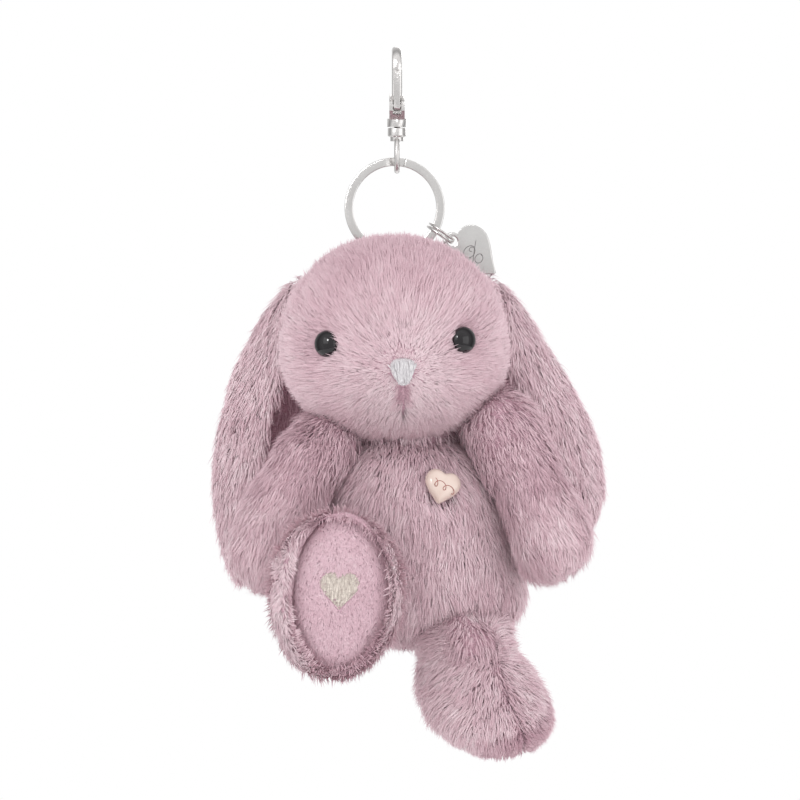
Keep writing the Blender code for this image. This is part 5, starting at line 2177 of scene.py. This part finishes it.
    def stitched_heart(self) -> None:
        """The champagne heart: short fill stitches in every direction over a crowned pad."""
        base = self.middle() + self.up * self.heart_lift + self.back * (self.recess - 0.0020)
        place = np.eye(4)
        place[:3, 0], place[:3, 1], place[:3, 2], place[:3, 3] = self.across, self.up, self.out, base
        edge = heart_edge(self.heart, self.heart * 0.95, 72)
        rings, poles = domed_plate(edge * 0.97, 0.0007, -0.0004, 8, 0.3)
        pad = rings_mesh(f"heart_pad_{self.side}", put_in(place, rings), Ends.POLES, put_in(place, poles))
        rng = np.random.default_rng([SEED, 90 + len(self.side)])
        start = (rng.random((self.stitches, 2)) - 0.5) * self.heart
        turn = rng.normal(0.6, 0.9, self.stitches)
        end = start + np.stack([np.cos(turn), np.sin(turn)], -1) * rng.uniform(0.0009, 0.0016, (self.stitches, 1))
        rim = edge * 0.99
        kept = inside(start, rim) & inside(end, rim)
        start, end = start[kept], end[kept]
        rim_next = np.roll(rim, -1, 0)
        slant = (rim_next - rim) * 0.8
        start = np.concatenate([start, rim * 0.93 - slant])
        end = np.concatenate([end, rim * 1.01 + slant])
        crown = lambda p: 0.0006 * (1 - np.clip(np.linalg.norm(p, axis=1) / (self.heart * 0.55), 0, 1) ** 3) ** 0.5
        starts = put_in(place, np.column_stack([start, crown(start)]))
        ends = put_in(place, np.column_stack([end, crown(end)]))
        threads = thread_mesh(f"heart_threads_{self.side}", starts, ends, self.out, 0.00012, 0.00022)
        CHAMPAGNE.on(pad, threads)
        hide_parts(f"sole_heart_{self.side}")
        for obj in (pad, threads):
            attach(obj, self.body)


# ---------------------------------------------------------------- stage


@dataclass
class Studio:
    """A white surround, soft lights, a pale floor below and a long lens."""

    view_width: float = 0.240
    distance: float = 2.6
    aim: tuple[float, float, float] = (0.0009, -0.017, -0.1047)
    floor_radius: float = 0.30
    floor_drop: float = 0.03
    surround: float = 0.95
    wash: float = 1.25

    def build(self) -> None:
        """Sets the camera, lights, surround and floor."""
        scene = bpy.context.scene
        scene.view_settings.view_transform = "Standard"
        scene.view_settings.look = "None"
        self.camera(scene)
        self.world(scene)
        for name, place, size, power in (
            ("key", (-0.75, -1.00, 0.45), 0.8, 1.9),
            ("fill", (0.95, -0.90, 0.05), 0.9, 1.9),
            ("back", (0.35, 1.05, 0.45), 0.9, 4.0),
            ("spark", (-0.50, -1.10, 0.55), 0.22, 3.0),
        ):
            self.light(scene, name, place, size, power)
        self.floor()

    def camera(self, scene: bpy.types.Scene) -> None:
        """A long lens level with the rabbit, looking along +Y.

        Args:
            scene: The scene it is made in.
        """
        data = bpy.data.cameras.new("camera")
        data.sensor_width = 36.0
        data.lens = data.sensor_width * self.distance / self.view_width
        data.clip_start, data.clip_end = 0.1, 20.0
        camera = bpy.data.objects.new("camera", data)
        camera.location = Vector(self.aim) - Vector((0, self.distance, 0))
        camera.rotation_euler = (math.pi / 2, 0, 0)
        scene.collection.objects.link(camera)
        scene.camera = camera

    def world(self, scene: bpy.types.Scene) -> None:
        """White to the camera; to gloss, bright before and behind and dim at the sides; even to cloth.

        Args:
            scene: The scene it is made in.
        """
        world = bpy.data.worlds.new("surround")
        world.use_nodes = True
        scene.world = world
        tree = Tree(world.node_tree)
        for node in list(world.node_tree.nodes):
            world.node_tree.nodes.remove(node)
        place = tree.add("ShaderNodeTexCoord")
        parts = tree.add("ShaderNodeSeparateXYZ")
        tree.join(place.outputs["Generated"], parts.inputs[0])
        ramp = tree.add("ShaderNodeValToRGB")
        depth = tree.math("MULTIPLY_ADD", parts.outputs["Y"], 0.5, 0.5)
        tree.join(depth, ramp.inputs[0])
        stops = ((0.0, 0.80), (0.28, 0.95), (0.42, 0.62), (0.55, 0.30), (0.72, 0.55), (1.0, 0.80))
        ramp.color_ramp.elements[0].position = stops[0][0]
        ramp.color_ramp.elements[1].position = stops[-1][0]
        for at, _ in stops[1:-1]:
            ramp.color_ramp.elements.new(at)
        for element, (_, value) in zip(ramp.color_ramp.elements, stops):
            element.color = (value, value, value, 1)
        shiny = tree.add("ShaderNodeBackground")
        lift = tree.math("MULTIPLY_ADD", parts.outputs["Z"], 0.22 * self.surround, self.surround)
        tree.join(lift, shiny.inputs["Strength"])
        tree.join(ramp.outputs[0], shiny.inputs["Color"])
        dull = tree.add("ShaderNodeBackground")
        ahead = tree.math("MULTIPLY_ADD", parts.outputs["Y"], -0.26 * self.wash, self.wash)
        under = tree.math("MULTIPLY_ADD", parts.outputs["Z"], -0.12 * self.wash, ahead)
        tree.join(under, dull.inputs["Strength"])
        dull.inputs["Color"].default_value = (1, 1, 1, 1)
        seen = tree.add("ShaderNodeBackground")
        seen.inputs["Color"].default_value = (1, 1, 1, 1)
        path = tree.add("ShaderNodeLightPath")
        indirect = tree.add("ShaderNodeMixShader")
        mix = tree.add("ShaderNodeMixShader")
        out = tree.add("ShaderNodeOutputWorld")
        tree.join(path.outputs["Is Glossy Ray"], indirect.inputs[0])
        tree.join(dull.outputs[0], indirect.inputs[1])
        tree.join(shiny.outputs[0], indirect.inputs[2])
        tree.join(path.outputs["Is Camera Ray"], mix.inputs[0])
        tree.join(indirect.outputs[0], mix.inputs[1])
        tree.join(seen.outputs[0], mix.inputs[2])
        tree.join(mix.outputs[0], out.inputs["Surface"])

    def light(self, scene: bpy.types.Scene, name: str, place: Sequence[float], size: float, power: float) -> None:
        """A square soft box aimed at the rabbit.

        Args:
            scene: The scene it is made in.
            name: The light's name.
            place: Where it stands, about the aim's height.
            size: Its side.
            power: Its watts.
        """
        data = bpy.data.lights.new(name, "AREA")
        data.shape = "SQUARE"
        data.size = size
        data.energy = power
        lamp = bpy.data.objects.new(name, data)
        lamp.location = Vector(place) + Vector((0, 0, self.aim[2]))
        lamp.rotation_euler = (Vector(self.aim) - lamp.location).to_track_quat("-Z", "Y").to_euler()
        lamp.visible_diffuse = name != "spark"
        scene.collection.objects.link(lamp)

    def floor(self) -> None:
        """A pale disc under the hanging rabbit."""
        low = CAD_BOX[0].z - self.floor_drop
        reach, under = self.floor_radius, low - 0.006
        profile = eased([(0.001, low), (reach, low), (reach, under), (0.001, under)], 0.003)
        disc = rings_mesh("floor", turned(profile, np.eye(4), 96), Ends.POLES)
        FLOOR_PAPER.on(disc)


def sleeves(head: Head, torso: Torso) -> list[Sleeve]:
    """The sleeves over every sewn joint, each from inside one body to inside the next.

    Args:
        head: The head.
        torso: The torso.

    Returns:
        The sleeves, not built yet.
    """
    neck = JOINT_AT["neck"] + np.array([0.0, 0.0085, 0.0])
    made = [
        Sleeve(
            "neck_sleeve", "head", "torso", neck + UP * 0.0105, neck - UP * 0.0095, 0.0170, 3000, -UP,
            Pile(length=0.006),
        )
    ]
    tops = {"left": (-0.0170, -0.0200, -0.1125), "right": (0.0270, -0.0200, -0.1045)}
    # Its low tone is painted shade for the shoulders under the head; the hip sleeves share it.
    flow = Pile(length=0.0056, width=0.00036, rise=34.0, fall=10.0, clump=0.25, tone=0.39)
    for side, girth, hip_girth in (("left", 0.0100, 0.0080), ("right", 0.0108, 0.0082)):
        mirror = -1 if side == "left" else 1
        root = JOINT_AT[f"ear_{side}_root"]
        inward = unit(head.egg.centre - root)
        down = np.array([mirror * 0.3, 0.3, -1.0])
        made.append(
            Sleeve(
                f"ear_{side}_sleeve", "head", f"ear_{side}", root + inward * 0.0095, root + unit(down) * 0.006,
                0.0044, 1800, down, Pile(length=0.0050),
            )
        )
        shoulder = JOINT_AT[f"shoulder_{side}"]
        down = np.array([mirror * 0.45, -0.24, -0.9])
        made.append(
            Sleeve(
                f"shoulder_{side}_sleeve", "torso", f"arm_{side}", np.array(tops[side]),
                shoulder + unit(down) * 0.009, girth, 4500, down, flow,
            )
        )
        hip = JOINT_AT[f"hip_{side}"]
        inward = unit(torso.egg.centre - hip)
        made.append(
            Sleeve(
                f"hip_{side}_sleeve", "torso", f"leg_{side}", hip + inward * 0.0150, hip - inward * 0.004,
                hip_girth, 2500, -UP, flow,
            )
        )
    return made


def main() -> None:
    """Builds the hardware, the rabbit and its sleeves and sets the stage."""
    logging.basicConfig(level=logging.INFO, format="%(name)s: %(message)s")
    Hardware().build()
    head = Head()
    head.build()
    torso = Torso()
    torso.build()
    for ear in (Ear("left", 30.0), Ear("right", 34.0)):
        ear.build()
    for arm in (Arm("left", 24.0, 2.0, short=0.0025), Arm("right", 29.0, 7.0, short=0.0090)):
        arm.build()
    Leg(
        "left", (-0.0035, -0.0200, 0.0035), (0.03, 0, 1), (0, -1, 0), 18000, 16500,
        root_radius=0.0095, rim=(0.93, 0.95), pad_size=(0.75, 0.90), pad_shift=(0.0015, 0.0006),
        tuck=(0.0, 0.009, 0.0), foot_shift=(0.0007, -0.0030),
    ).build()
    Leg(
        "right", (0.0058, 0.0080, -0.0170), (0.17, -0.86, -0.48), (0, 0.48, -0.86), 28000, 3000,
        root_radius=0.0122, rim=(0.90, 0.84), pad_size=(0.74, 0.76), pad_shift=(0.0, 0.0),
        tuck=(-0.0030, 0.0080, 0.0150), sag=(-0.0050, 0.0, -0.0030),
    ).build()
    for sleeve in sleeves(head, torso):
        sleeve.build()
    Studio().build()


if __name__ == "__main__":
    main()
